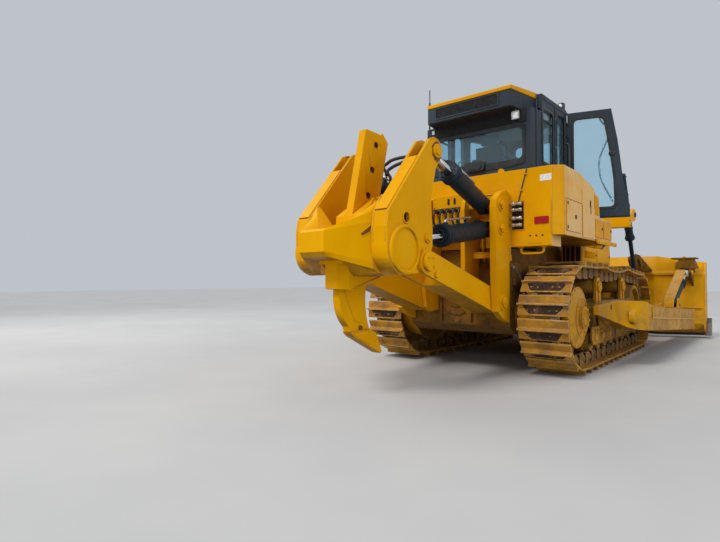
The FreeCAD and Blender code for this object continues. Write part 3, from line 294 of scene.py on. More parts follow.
def glass(name, tint):
    """Cab glass: a faint green tint with a patchy dusty film."""
    t = Tree(name)
    b = t.bsdf
    t.link(t.mix(t.ramp(t.noise(2.0, 4.0, 0.6), 0.3, 0.75), tint, tuple(0.93 * c for c in tint)), b.inputs["Base Color"])
    b.inputs["Transmission Weight"].default_value = 0.95
    b.inputs["IOR"].default_value = 1.45
    t.link(t.ramp(t.noise(5.0, 5.0, 0.7), 0.45, 0.85, 0.0, 0.05), b.inputs["Roughness"])
    return t.mat


def fabric(name, base, deep, scale=260.0):
    t = Tree(name)
    weft = t.add("ShaderNodeTexWave", wave_type="BANDS", bands_direction="Z")
    weft.inputs["Scale"].default_value = scale
    warp = t.add("ShaderNodeTexWave", wave_type="BANDS", bands_direction="Y")
    warp.inputs["Scale"].default_value = scale
    for w in (weft, warp):
        t.link(t.coords(), w.inputs["Vector"])
    weave = t.math("MULTIPLY", weft.outputs["Fac"], warp.outputs["Fac"])
    col = t.mix(t.ramp(t.noise(5.0, 5.0, 0.7), 0.35, 0.7), base, deep)
    col = t.mix(t.math("MULTIPLY", weave, 0.35), col, tuple(min(1.0, 1.8 * c) for c in base))
    t.link(col, t.bsdf.inputs["Base Color"])
    t.bsdf.inputs["Roughness"].default_value = 0.9
    t.bsdf.inputs["Sheen Weight"].default_value = 0.3
    t.link(t.bump(weave, 0.3, 0.001), t.bsdf.inputs["Normal"])
    return t.mat


def lens(name, base, rough=0.15, glow=0.0):
    t = Tree(name)
    ribs = t.add("ShaderNodeTexWave", wave_type="BANDS", bands_direction="Y")
    ribs.inputs["Scale"].default_value = 60.0
    t.link(t.coords(), ribs.inputs["Vector"])
    t.link(t.mix(t.ramp(t.noise(30.0, 3.0, 0.6), 0.3, 0.8), base, tuple(0.75 * c for c in base)), t.bsdf.inputs["Base Color"])
    t.bsdf.inputs["Roughness"].default_value = rough
    t.link(t.bump(ribs.outputs["Fac"], 0.2, 0.002), t.bsdf.inputs["Normal"])
    return t.mat


def mud(name, base, deep, dry):
    """Caked soil: clods, cracks and a dry pale film."""
    t = Tree(name)
    col = t.mix(t.ramp(t.noise(9.0, 6.0, 0.72), 0.35, 0.68), base, deep)
    col = t.mix(t.ramp(t.noise(3.5, 5.0, 0.7, dist=0.5), 0.48, 0.66, 0.0, 0.8), col, dry)
    crack = t.ramp(t.voronoi(16.0, "DISTANCE_TO_EDGE"), 0.0, 0.06, 0.55, 0.0)
    col = t.mix(crack, col, tuple(0.4 * c for c in deep))
    t.link(col, t.bsdf.inputs["Base Color"])
    t.bsdf.inputs["Roughness"].default_value = 0.95
    t.bsdf.inputs["Specular IOR Level"].default_value = 0.2
    b = t.bump(t.noise(38.0, 6.0, 0.75), 0.8, 0.012)
    b = t.bump(t.noise(11.0, 5.0, 0.7), 0.7, 0.025, chain=b)
    t.link(b, t.bsdf.inputs["Normal"])
    return t.mat


YEL, YEL_DEEP = (0.800, 0.380, 0.0008), (0.680, 0.305, 0.0004)
M = {
    # the under values paint shade onto downward faces
    "yellow": paint("paint_yellow", YEL, YEL_DEEP, rough=0.42, dust=0.16, wear=0.30, streak=0.10, coat=0.0, spec=0.08, under_shade=0.6, dust_col=(0.62, 0.36, 0.05)),
    "ripper": paint("paint_ripper", (0.830, 0.400, 0.0006), (0.740, 0.335, 0.0003), rough=0.40, dust=0.06, mud=0.0, wear=0.26, streak=0.06, coat=0.0, spec=0.06, under_shade=0.78, dust_col=(0.68, 0.38, 0.03), wear_col=(0.30, 0.15, 0.03)),
    # the tank's side value paints sunlit paleness mixed with dust on its faces turned to -y
    "tank": paint("paint_tank", YEL, YEL_DEEP, rough=0.44, dust=0.24, wear=0.28, streak=0.14, patch=0.06, coat=0.0, spec=0.08, side=0.85, under_shade=0.85, dust_col=(0.58, 0.38, 0.13)),
    "soiled": paint("paint_soiled", (0.50, 0.25, 0.012), (0.30, 0.15, 0.015), rough=0.60, dust=0.75, mud=0.9, mud_top=1.6, wear=0.35, coat=0.0, streak=0.35, patch=0.40,
                    mud_col=(0.20, 0.115, 0.045), dust_col=(0.36, 0.22, 0.09)),
    # frame: dirty dark yellow, darkened further as painted shade for the shadowed underbody
    "frame": paint("paint_frame_dirt_and_shade", (0.27, 0.115, 0.010), (0.11, 0.046, 0.008), under_shade=0.8, rough=0.65, dust=0.7, mud=0.9, mud_top=1.9, wear=0.25, coat=0.0, streak=0.35, patch=0.50,
                   mud_col=(0.10, 0.052, 0.02), dust_col=(0.26, 0.14, 0.05)),
    "drive": paint("paint_drive", (0.70, 0.330, 0.004), (0.50, 0.225, 0.006), rough=0.50, dust=0.55, mud=0.55, mud_top=1.15, wear=0.35, coat=0.02, streak=0.25, patch=0.22,
                   mud_col=(0.19, 0.105, 0.04), dust_col=(0.34, 0.21, 0.08)),
    "drivebolt": paint("paint_drivebolt", (0.70, 0.36, 0.008), (0.55, 0.27, 0.010), rough=0.45, dust=0.35, mud=0.2, mud_top=1.0, wear=0.5, coat=0.02, streak=0.1, patch=0.10,
                       wear_col=(0.10, 0.07, 0.05)),
    "push": paint("paint_push", (0.62, 0.300, 0.002), (0.42, 0.190, 0.003), under_shade=0.8, spec=0.12, rough=0.50, dust=0.45, mud=0.75, mud_top=1.2, wear=0.45, streak=0.25, patch=0.18,
                  mud_col=(0.26, 0.15, 0.06)),
    # blade brackets: mud brown, darkened further as painted shade
    "ears": paint("paint_ears_mud_and_shade", (0.30, 0.142, 0.010), (0.12, 0.055, 0.010), rough=0.60, dust=0.55, mud=0.9, mud_top=2.1, wear=0.4, coat=0.0, spec=0.25, under_shade=0.8, streak=0.35, patch=0.35,
                  mud_col=(0.055, 0.030, 0.016), dust_col=(0.26, 0.15, 0.06)),
    "shade": paint("paint_shade", (0.20, 0.085, 0.006), (0.12, 0.050, 0.005), rough=0.60, dust=0.2, wear=0.2, coat=0.0, spec=0.2),
    "blade": paint("paint_blade", (0.74, 0.355, 0.002), (0.56, 0.255, 0.003), spec=0.12, rough=0.42, dust=0.32, mud=0.55, mud_top=1.1, wear=0.45, streak=0.25, patch=0.12,
                   mud_col=(0.26, 0.15, 0.06)),
    "cab": paint("paint_cab", (0.040, 0.056, 0.073), (0.027, 0.038, 0.050), spec=0.16, rough=0.45, dust=0.15, wear=0.10, coat=0.0,
                 dust_col=(0.12, 0.14, 0.16), wear_col=(0.14, 0.15, 0.18), streak=0.08),
    "black": paint("paint_black", (0.020, 0.020, 0.023), (0.012, 0.012, 0.014), rough=0.36, dust=0.35, wear=0.25, coat=0.1,
                   dust_col=(0.15, 0.12, 0.09), wear_col=(0.13, 0.12, 0.11), streak=0.2),
    "barrel": paint("paint_barrel", (0.011, 0.027, 0.040), (0.007, 0.017, 0.026), rough=0.42, dust=0.04, wear=0.08, coat=0.0, spec=0.18,
                    dust_col=(0.04, 0.055, 0.07), wear_col=(0.14, 0.17, 0.20), streak=0.03, patch=0.02),
    "engine": steel("steel_engine", (0.05, 0.045, 0.04), (0.025, 0.022, 0.02), rough=0.6, metallic=0.3, patch_col=(0.14, 0.09, 0.05), patch=0.5),
    "shoe": track_metal("steel_shoe", (0.30, 0.150, 0.026), (0.72, 0.50, 0.26), (0.58, 0.285, 0.018), (0.32, 0.145, 0.020), mud=0.82),
    "link": track_metal("steel_link", (0.18, 0.105, 0.04), (0.50, 0.38, 0.24), (0.38, 0.20, 0.035), (0.18, 0.095, 0.028), mud=0.90),
    "mudcake": mud("mud_cake", (0.070, 0.040, 0.026), (0.030, 0.019, 0.014), (0.20, 0.110, 0.050)),
    "edge": steel("steel_edge", (0.17, 0.15, 0.13), (0.10, 0.085, 0.07), rough=0.45, metallic=0.7, patch_col=(0.24, 0.15, 0.07), patch=0.5),
    "chrome": chrome("steel_chrome"),
    "rubber": rubber("rubber_hose"),
    "seal": rubber("rubber_seal", (0.010, 0.011, 0.013), 0.42, (0.06, 0.06, 0.06), 60.0),
    "glass": glass("glass_cab", (0.60, 0.87, 1.0)),
    "seat": fabric("fabric_seat", (0.180, 0.265, 0.340), (0.115, 0.175, 0.235)),
    "plastic": rubber("plastic_dark", (0.045, 0.046, 0.052), 0.55, (0.09, 0.085, 0.08), 90.0),
    "inner": rubber("plastic_inner", (0.16, 0.18, 0.21), 0.7, (0.22, 0.23, 0.25), 70.0),
    "lamp": lens("lens_lamp", (0.80, 0.82, 0.84)),
    # near-black trim, also painted shade under the cab's overhang and in the duct louvre
    "black_and_shade": rubber("plastic_black_and_shade", (0.006, 0.006, 0.008), 0.80, (0.020, 0.020, 0.022), 60.0),
    "liner": rubber("plastic_liner", (0.40, 0.42, 0.44), 0.75, (0.30, 0.31, 0.33), 60.0),
    "red": lens("lens_red", (0.40, 0.004, 0.008), 0.25),
    "white": lens("plate_white", (0.82, 0.82, 0.78), 0.5),
    "silver": steel("steel_silver", (0.66, 0.67, 0.68), (0.40, 0.39, 0.38), rough=0.30, metallic=0.85, bump=0.1),
    "rust": steel("steel_rust", (0.25, 0.085, 0.02), (0.10, 0.038, 0.012), rough=0.85, metallic=0.1, bump=0.5, patch_col=(0.42, 0.17, 0.04), patch=0.5),
    # dark brown for seams, and painted shade inside holes, bores, slots and openings
    "seam_and_hole_shade": steel("steel_seam_and_hole_shade", (0.050, 0.022, 0.010), (0.018, 0.010, 0.006), rough=0.9, metallic=0.1, bump=0.4, patch_col=(0.11, 0.045, 0.015), patch=0.5),
    "weld": steel("steel_weld", (0.68, 0.345, 0.005), (0.56, 0.275, 0.004), rough=0.45, metallic=0.05, grain=90.0, bump=0.5, patch_col=(0.44, 0.21, 0.01), patch=0.25),
    "pipe": steel("steel_pipe", (0.40, 0.17, 0.02), (0.24, 0.10, 0.015), rough=0.5, metallic=0.1, bump=0.2, patch_col=(0.12, 0.06, 0.02), patch=0.4),
}

NODE_MATERIAL = {
    "track_r": "link", "track_l": "link", "sprockets": "link", "final_drives": "drive", "idlers": "soiled",
    "track_rollers": "soiled", "carrier_rollers": "soiled", "track_frames": "soiled", "trunnions": "soiled",
    "pivot_shaft": "frame", "equalizer_bar": "frame", "main_frame": "frame", "belly_guard": "frame", "engine_block": "engine",
    "transmission_cover": "frame", "hood_top": "yellow", "engine_sides": "yellow", "radiator_guard": "yellow", "radiator_grille": "black",
    "exhaust_stack": "black", "air_precleaner": "black", "fuel_tank": "tank", "step_boxes": "tank", "fenders": "yellow",
    "side_boxes": "yellow", "rear_valve_box": "yellow", "rear_steps": "yellow", "cab_frame": "cab", "cab_roof": "cab", "roof_cap": "yellow",
    "cab_glass": "glass", "operator_seat": "seat", "cab_consoles": "plastic", "door_r": "cab", "door_glass_r": "glass", "door_l": "cab",
    "door_glass_l": "glass", "work_lamps": "lamp", "aerial": "black", "blade": "blade", "cutting_edge": "edge", "blade_brackets": "ears",
    "push_arms": "push", "lift_yokes": "yellow", "blade_lift_barrels": "barrel", "blade_lift_rods": "barrel", "blade_tilt_barrels": "barrel",
    "blade_tilt_rods": "chrome", "ripper_posts": "yellow", "ripper_arms": "ripper", "ripper_pins": "ripper", "ripper_beam": "ripper",
    "ripper_brackets": "ripper", "ripper_shank": "ripper", "ripper_tip": "ripper", "ripper_pitch_barrels": "barrel", "ripper_pitch_rods": "chrome",
    "ripper_raise_barrels": "barrel", "ripper_raise_rods": "chrome",
}
ROUNDING = {"track_r": 0, "track_l": 0, "cab_glass": 0, "door_glass_r": 0, "door_glass_l": 0, "aerial": 0, "operator_seat": 0,
            "ripper_beam": 0.016, "ripper_shank": 0.006, "blade": 0.010, "fuel_tank": 0.018, "cab_frame": 0.012, "door_r": 0.014, "door_l": 0.014,
            "ripper_posts": 0.010, "main_frame": 0.010, "ripper_brackets": 0.008, "push_arms": 0.022, "cab_roof": 0.014, "roof_cap": 0.014}
for name, ob in NODES.items():
    ob.data.materials.clear()
    ob.data.materials.append(M[NODE_MATERIAL[name]])
    width = ROUNDING.get(name, 0.006)
    if width:
        weld = ob.modifiers.new("weld", "WELD")
        weld.merge_threshold = 0.0002
        bevel = ob.modifiers.new("round", "BEVEL")
        bevel.width = width
        bevel.segments = 2
        bevel.limit_method = "ANGLE"
        bevel.angle_limit = math.radians(38)
        bevel.harden_normals = True

# ---------------------------------------------------------------- mesh kit
class Kit:
    def __init__(self):
        self.v, self.f, self.mi = [], [], []
        self.keys, self.key = [], 0
        self.M = Matrix.Identity(4)

    def use(self, key):
        if key not in self.keys:
            self.keys.append(key)
        self.key = self.keys.index(key)
        return self

    def add(self, verts, faces):
        base = len(self.v)
        self.v += [tuple(self.M @ Vector(p)) for p in verts]
        self.f += [tuple(base + i for i in f) for f in faces]
        self.mi += [self.key] * len(faces)

    def box(self, x, y, z):
        (a, b), (c, d), (e, f) = sorted(x), sorted(y), sorted(z)
        v = [(a, c, e), (b, c, e), (b, d, e), (a, d, e), (a, c, f), (b, c, f), (b, d, f), (a, d, f)]
        self.add(v, [(0, 3, 2, 1), (4, 5, 6, 7), (0, 1, 5, 4), (1, 2, 6, 5), (2, 3, 7, 6), (3, 0, 4, 7)])

    def prism(self, pts, lo, hi, plane="XZ"):
        """Closed outline with a thickness. XZ: x,z between two y. XY: x,y between two z. YZ: y,z between two x."""
        n = len(pts)
        put = {"XZ": lambda p, t: (p[0], t, p[1]), "XY": lambda p, t: (p[0], p[1], t), "YZ": lambda p, t: (t, p[0], p[1])}[plane]
        v = [put(p, lo) for p in pts] + [put(p, hi) for p in pts]
        self.add(v, [tuple(range(n - 1, -1, -1)), tuple(range(n, 2 * n))] + [(i, (i + 1) % n, n + (i + 1) % n, n + i) for i in range(n)])

    def frame(self, a, b):
        a, b = Vector(a), Vector(b)
        w = (b - a).normalized()
        u = w.cross(Vector((0, 0, 1)) if abs(w.z) < 0.9 else Vector((1, 0, 0))).normalized()
        return a, w, u, w.cross(u)

    def lathe(self, a, b, prof, n=24, turn=0.0):
        """Turned part along the axis from a towards b; prof is a list of (distance from a, radius)."""
        o, w, u, v = self.frame(a, b)
        verts, faces = [], []
        for t, r in prof:
            for k in range(n):
                g = 2 * math.pi * k / n + turn
                verts.append(o + w * t + (u * math.cos(g) + v * math.sin(g)) * r)
        for i in range(len(prof) - 1):
            for k in range(n):
                faces.append((i * n + k, i * n + (k + 1) % n, (i + 1) * n + (k + 1) % n, (i + 1) * n + k))
        faces.append(tuple(range(n - 1, -1, -1)))
        last = (len(prof) - 1) * n
        faces.append(tuple(last + k for k in range(n)))
        self.add(verts, faces)

    def cyl(self, a, b, r, n=20, c=0.0):
        L = (Vector(b) - Vector(a)).length
        if c:
            self.lathe(a, b, [(0, r - c), (c, r), (L - c, r), (L, r - c)], n)
        else:
            self.lathe(a, b, [(0, r), (L, r)], n)

    def path(self, pts, steps=6):
        P = [Vector(p) for p in pts]
        if len(P) == 2 or steps == 1:
            return P
        out = []
        for i in range(len(P) - 1):
            p0, p1, p2, p3 = P[max(i - 1, 0)], P[i], P[i + 1], P[min(i + 2, len(P) - 1)]
            for s in range(steps):
                t = s / steps
                out.append(0.5 * ((2 * p1) + (p2 - p0) * t + (2 * p0 - 5 * p1 + 4 * p2 - p3) * t * t + (3 * p1 - p0 - 3 * p2 + p3) * t ** 3))
        out.append(P[-1])
        return out

    def tube(self, pts, r, n=10, steps=6):
        """Round bar or hose along a smooth line."""
        P = self.path(pts, steps)
        verts, faces = [], []
        side = None
        for i, p in enumerate(P):
            w = (P[min(i + 1, len(P) - 1)] - P[max(i - 1, 0)]).normalized()
            if side is None:
                side = w.cross(Vector((0, 0, 1)) if abs(w.z) < 0.9 else Vector((1, 0, 0))).normalized()
            side = (side - w * side.dot(w)).normalized()
            up = w.cross(side)
            for k in range(n):
                g = 2 * math.pi * k / n
                verts.append(p + (side * math.cos(g) + up * math.sin(g)) * r)
        for i in range(len(P) - 1):
            for k in range(n):
                faces.append((i * n + k, i * n + (k + 1) % n, (i + 1) * n + (k + 1) % n, (i + 1) * n + k))
        faces.append(tuple(range(n - 1, -1, -1)))
        faces.append(tuple((len(P) - 1) * n + k for k in range(n)))
        self.add(verts, faces)

    def hose(self, pts, r, n=10):
        """Hose with crimped metal ends."""
        here = self.key
        self.use("rubber")
        self.tube(pts, r, n)
        P = self.path(pts)
        for a, b in ((P[0], P[2]), (P[-1], P[-3])):
            w = (b - a).normalized()
            self.use("silver")
            self.lathe(a, a + w, [(-0.005, r * 1.15), (0.0, r * 1.3), (0.05, r * 1.3), (0.055, r * 1.1)], 12)
            self.lathe(a, a + w, [(-0.03, r * 1.5), (0.0, r * 1.5)], 6)
        self.key = here

    def bolt(self, p, d, r=0.018, h=0.014):
        """Hexagon head on a washer, seated at p and standing up along d."""
        p, d = Vector(p), Vector(d).normalized()
        self.lathe(p, p + d, [(0, r * 1.35), (h * 0.25, r * 1.35)], 14)
        self.lathe(p, p + d, [(h * 0.2, r), (h * 0.85, r), (h, r * 0.82)], 6)

    def bolts(self, c, d, R, count, r=0.018, h=0.014, phase=0.0):
        o, w, u, v = self.frame(c, Vector(c) + Vector(d))
        for k in range(count):
            g = 2 * math.pi * k / count + phase
            self.bolt(o + (u * math.cos(g) + v * math.sin(g)) * R, d, r, h)

    def torus(self, c, d, R, r, n=32, k=8):
        o, w, u, v = self.frame(c, Vector(c) + Vector(d))
        verts, faces = [], []
        for i in range(n):
            g = 2 * math.pi * i / n
            e = u * math.cos(g) + v * math.sin(g)
            for j in range(k):
                h = 2 * math.pi * j / k
                verts.append(o + e * (R + r * math.cos(h)) + w * (r * math.sin(h)))
        for i in range(n):
            for j in range(k):
                faces.append((i * k + j, ((i + 1) % n) * k + j, ((i + 1) % n) * k + (j + 1) % k, i * k + (j + 1) % k))
        self.add(verts, faces)

    def bead(self, pts, r=0.009, seed=1, steps=1):
        """Weld bead: a lumpy line of overlapping ripples."""
        rnd = random.Random(seed)
        P = []
        for a, b in zip(pts[:-1], pts[1:]):
            a, b = Vector(a), Vector(b)
            n = max(2, int((b - a).length / 0.022))
            P += [a + (b - a) * (i / n) for i in range(n)]
        P.append(Vector(pts[-1]))
        verts, faces, n = [], [], 6
        for i, p in enumerate(P):
            w = (P[min(i + 1, len(P) - 1)] - P[max(i - 1, 0)]).normalized()
            side = w.cross(Vector((0.3, 0.2, 0.93))).normalized()
            up = w.cross(side)
            q = r * (0.85 + 0.35 * (i % 2) + 0.25 * rnd.random())
            for k in range(n):
                g = 2 * math.pi * k / n
                verts.append(p + (side * math.cos(g) + up * math.sin(g)) * q)
        for i in range(len(P) - 1):
            for k in range(n):
                faces.append((i * n + k, i * n + (k + 1) % n, (i + 1) * n + (k + 1) % n, (i + 1) * n + k))
        faces.append(tuple(range(n - 1, -1, -1)))
        faces.append(tuple((len(P) - 1) * n + k for k in range(n)))
        self.add(verts, faces)

    def lump(self, c, size, rnd, squash=0.6):
        """Irregular clod."""
        rings, n = 4, 7
        verts, faces = [], []
        for i in range(rings + 1):
            th = math.pi * (i + 0.35) / (rings + 0.7)
            for k in range(n):
                g = 2 * math.pi * (k + 0.5 * (i % 2)) / n
                q = size * (0.72 + 0.5 * rnd.random())
                verts.append((c[0] + q * math.sin(th) * math.cos(g), c[1] + q * math.sin(th) * math.sin(g), c[2] + q * squash * math.cos(th)))
        for i in range(rings):
            for k in range(n):
                faces.append((i * n + k, (i + 1) * n + k, (i + 1) * n + (k + 1) % n, i * n + (k + 1) % n))
        faces.append(tuple(range(n)))
        faces.append(tuple(rings * n + k for k in range(n - 1, -1, -1)))
        self.add(verts, faces)

    def finish(self, name, body, bevel=0.0, angle=34, replaces=()):
        me = bpy.data.meshes.new(name)
        me.from_pydata([(x + SHIFT, y, z) for x, y, z in self.v], [], self.f)
        bm = bmesh.new()
        bm.from_mesh(me)
        bmesh.ops.recalc_face_normals(bm, faces=bm.faces)
        bm.to_mesh(me)
        bm.free()
        for k in self.keys:
            me.materials.append(M[k])
        me.polygons.foreach_set("material_index", self.mi)
        me.polygons.foreach_set("use_smooth", [True] * len(self.f))
        me.set_sharp_from_angle(angle=math.radians(angle))
        me.update()
        ob = bpy.data.objects.new(name, me)
        SCENE.collection.objects.link(ob)
        if bevel:
            m = ob.modifiers.new("round", "BEVEL")
            m.width, m.segments, m.limit_method, m.angle_limit, m.harden_normals = bevel, 2, "ANGLE", math.radians(40), True
        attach(ob, body)
        if replaces:
            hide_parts(*replaces)
        return ob


SIDES = (("r", -1), ("l", 1))


def both(pt, s):
    """Point given for the left side, on the side with sign s."""
    return (pt[0], pt[1] * s, pt[2])


def arc(c, r, a0, a1, n=8):
    """Points of an arc in a plane, degrees."""
    return [(c[0] + r * math.cos(math.radians(a0 + (a1 - a0) * i / n)), c[1] + r * math.sin(math.radians(a0 + (a1 - a0) * i / n))) for i in range(n + 1)]


def rounded(x0, z0, x1, z1, r, n=6):
    """Rectangle with round corners, counter-clockwise."""
    return arc((x1 - r, z0 + r), r, -90, 0, n) + arc((x1 - r, z1 - r), r, 0, 90, n) + arc((x0 + r, z1 - r), r, 90, 180, n) + arc((x0 + r, z0 + r), r, 180, 270, n)


def band(kit, outer, inner, lo, hi, plane):
    """Flat ring between two outlines with the same number of points."""
    n = len(outer)
    put = {"XZ": lambda p, t: (p[0], t, p[1]), "XY": lambda p, t: (p[0], p[1], t), "YZ": lambda p, t: (t, p[0], p[1])}[plane]
    v = [put(p, lo) for p in outer] + [put(p, lo) for p in inner] + [put(p, hi) for p in outer] + [put(p, hi) for p in inner]
    f = []
    for i in range(n):
        j = (i + 1) % n
        f += [(i, j, n + j, n + i), (2 * n + i, 3 * n + i, 3 * n + j, 2 * n + j), (i, 2 * n + i, 2 * n + j, j), (n + i, n + j, 3 * n + j, 3 * n + i)]
    kit.add(v, f)


# ---------------------------------------------------------------- tracks
SPR_Z, SPR_R, IDL_X, IDL_Z, IDL_R, GAUGE = 0.765, 0.607, 3.600, 0.718, 0.560, 1.250
PLATE_IN, PLATE_OUT, TIP, RAIL = 0.070, 0.092, 0.158, 0.075


def pin_line():
    """Points of the pin line: sprocket wrap, top run with its sags, idler wrap, ground run."""
    pts = []
    for i in range(0, 181, 2):
        a = math.radians(-90 - i)
        pts.append((SPR_R * math.cos(a), SPR_Z + SPR_R * math.sin(a)))
    top = SPR_Z + SPR_R
    stops = ((0.0, top), (1.000, top), (2.440, top - 0.006), (IDL_X, IDL_Z + IDL_R))
    for (xa, za), (xb, zb), sag in zip(stops[:-1], stops[1:], (0.016, 0.060, 0.022)):
        for i in range(1, 31):
            q = i / 30.0
            pts.append((xa + (xb - xa) * q, za + (zb - za) * q - 4 * sag * q * (1 - q)))
    for i in range(2, 181, 2):
        a = math.radians(90 - i)
        pts.append((IDL_X + IDL_R * math.cos(a), IDL_Z + IDL_R * math.sin(a)))
    for i in range(1, 40):
        pts.append((IDL_X * (1 - i / 40.0), TIP))
    return pts


def pins(phase, n=39):
    loop = pin_line()
    loop = loop + [loop[0]]
    cum = [0.0]
    for a, b in zip(loop[:-1], loop[1:]):
        cum.append(cum[-1] + math.hypot(b[0] - a[0], b[1] - a[1]))
    out, k = [], 0
    for i in range(n):
        d = ((i + phase) / n * cum[-1]) % cum[-1]
        k = min(max(j for j in range(len(cum)) if cum[j] <= d), len(loop) - 2)
        q = (d - cum[k]) / (cum[k + 1] - cum[k])
        out.append((loop[k][0] + (loop[k + 1][0] - loop[k][0]) * q, loop[k][1] + (loop[k + 1][1] - loop[k][1]) * q))
    return out


def build_track(tag, s, phase, seed):
    rnd = random.Random(seed)
    P = pins(phase)
    yc = s * GAUGE
    kit = Kit()
    kit.use("shoe")
    kit.use("link")
    kit.use("mudcake")
    for i, a in enumerate(P):
        b = P[(i + 1) % len(P)]
        L = math.hypot(b[0] - a[0], b[1] - a[1])
        t = ((b[0] - a[0]) / L, (b[1] - a[1]) / L)
        o = (-t[1], t[0])
        if o[0] * ((a[0] + b[0]) / 2 - IDL_X / 2) + o[1] * ((a[1] + b[1]) / 2 - SPR_Z) < 0:
            o = (-o[0], -o[1])
        kit.M = Matrix(((t[0], 0, o[0], a[0]), (0, 1, 0, yc), (t[1], 0, o[1], a[1]), (0, 0, 0, 1)))
        on_ground = (a[1] + b[1]) / 2 < TIP + 0.02
        # shoe plate with its lips and one worn grouser, in strips across the track
        kit.use("shoe")
        stations, half = 11, 0.32
        ring = 12
        verts, faces = [], []
        wear = rnd.uniform(0.0, 0.006)
        for k in range(stations):
            y = -half + 2 * half * k / (stations - 1)
            nick = 0.0 if on_ground else wear + rnd.uniform(0.0, 0.007) * (1.6 if k in (0, stations - 1) else 1.0)
            tip = TIP - nick
            j = rnd.uniform(-0.0015, 0.0015)
            prof = [(0.004, PLATE_IN), (0.003, PLATE_OUT - 0.008), (0.016, PLATE_OUT - 0.001), (L / 2 - 0.024, PLATE_OUT), (L / 2 - 0.014 + j, PLATE_OUT + 0.014),
                    (L / 2 - 0.011 + j, tip - 0.004), (L / 2 - 0.006, tip), (L / 2 + 0.008, tip - 0.001), (L / 2 + 0.012 + j, PLATE_OUT + 0.014), (L / 2 + 0.024, PLATE_OUT),
                    (L - 0.014, PLATE_OUT), (L - 0.004, PLATE_OUT - 0.010)]
            prof[-1] = (L - 0.003, PLATE_OUT - 0.010)
            verts += [(p, y, q) for p, q in prof] + [(L - 0.004, y, PLATE_IN)]
        ring = 13
        for k in range(stations - 1):
            for m in range(ring):
                faces.append((k * ring + m, k * ring + (m + 1) % ring, (k + 1) * ring + (m + 1) % ring, (k + 1) * ring + m))
        faces.append(tuple(range(ring - 1, -1, -1)))
        faces.append(tuple((stations - 1) * ring + m for m in range(ring)))
        kit.add(verts, faces)
        for yb in (-0.178, -0.092, 0.092, 0.178):
            for xb in (L * 0.5 - 0.062,):
                kit.lathe((xb, yb, PLATE_OUT - 0.002), (xb, yb, PLATE_OUT + 1), [(0, 0.019), (0.013, 0.019), (0.017, 0.015)], 6, rnd.uniform(0, 1))
        # link plates: an outer half towards the next link, an inner half towards the last
        kit.use("link")
        for side in (-1, 1):
            back = arc((0, 0), 0.060, 110, 250, 6) + [(0.03, -RAIL), (L * 0.62, -RAIL), (L * 0.62, PLATE_IN + 0.002), (0.025, PLATE_IN + 0.002)]
            fore = [(L * 0.40, PLATE_IN + 0.002), (L * 0.40, -RAIL), (L - 0.03, -RAIL)] + arc((L, 0), 0.060, -70, 70, 6) + [(L - 0.04, PLATE_IN + 0.002)]
            y0 = side * 0.135
            kit.prism(back, y0 + side * 0.002 - 0.0, y0 + side * 0.034, "XZ")
            kit.prism(fore, y0 - side * 0.034, y0 - side * 0.002, "XZ")
            kit.prism([(L * 0.40, PLATE_IN), (L * 0.40, -RAIL + 0.002), (L * 0.62, -RAIL + 0.002), (L * 0.62, PLATE_IN)], y0 - 0.03, y0 + 0.03, "XZ")
        kit.lathe((0, -0.182, 0), (0, 1, 0), [(0, 0.026), (0.003, 0.031), (0.077, 0.031), (0.077, 0.044), (0.287, 0.044), (0.287, 0.031), (0.361, 0.031), (0.364, 0.026)], 12)
        # caked trapezoid of soil on the half before the grouser, thinner film elsewhere
        kit.use("mudcake")
        nx, ny = 5, 12
        lo, hi = 0.006 + rnd.uniform(0, 0.01), L / 2 - 0.013
        wn, ww = 0.190 + rnd.uniform(-0.020, 0.015), 0.272 + rnd.uniform(-0.014, 0.010)
        if not on_ground:
            verts, faces = [], []
            for p in range(nx):
                q = p / (nx - 1)
                w = wn + (ww - wn) * q
                for k in range(ny):
                    y = -w + 2 * w * k / (ny - 1)
                    edge = p in (0,) or k in (0, ny - 1)
                    h = -0.004 if edge else (0.006 + 0.009 * rnd.random() + 0.020 * q * q)
                    if p == nx - 1:
                        h = 0.026 + 0.012 * rnd.random() if not k in (0, ny - 1) else 0.0
                    verts.append((lo + (hi - lo) * q + (0 if edge else rnd.uniform(-0.004, 0.004)), y + rnd.uniform(-0.006, 0.006), PLATE_OUT + h))
            for p in range(nx - 1):
                for k in range(ny - 1):
                    faces.append((p * ny + k, p * ny + k + 1, (p + 1) * ny + k + 1, (p + 1) * ny + k))
            base = len(verts)
            verts += [(x, y, PLATE_OUT - 0.012) for x, y, z in verts]
            loop = list(range(ny)) + [p * ny + ny - 1 for p in range(1, nx)] + [(nx - 1) * ny + k for k in range(ny - 2, -1, -1)] + [p * ny for p in range(nx - 2, 0, -1)]
            faces += [(u, v, base + v, base + u) for u, v in zip(loop, loop[1:] + loop[:1])]
            faces += [tuple(base + f for f in (p * ny + k, (p + 1) * ny + k, (p + 1) * ny + k + 1, p * ny + k + 1)) for p in range(nx - 1) for k in range(ny - 1)]
            kit.add(verts, faces)
        mid = ((a[0] + b[0]) / 2, (a[1] + b[1]) / 2)
        if mid[1] > 1.2 and -0.45 < mid[0] < 3.3:
            for _ in range(9):
                size = rnd.choice((0.010, 0.016, 0.022, 0.034))
                kit.lump((rnd.uniform(0.03, L - 0.03), rnd.uniform(-0.27, 0.27), PLATE_OUT + size * 0.1), size, rnd, 0.5)
        elif not on_ground and rnd.random() < 0.8:
            for _ in range(3):
                size = rnd.choice((0.008, 0.012, 0.016))
                kit.lump((rnd.uniform(0.02, L / 2 - 0.03), rnd.uniform(-0.25, 0.25), PLATE_OUT), size, rnd, 0.4)
    kit.M = Matrix.Identity(4)
    return kit.finish("track_chain_" + tag, "machine", bevel=0.0, angle=30, replaces=("track_" + tag,))


for (tag, s), phase, seed in zip(SIDES, (0.5, 0.02), (11, 23)):
    build_track(tag, s, phase, seed)

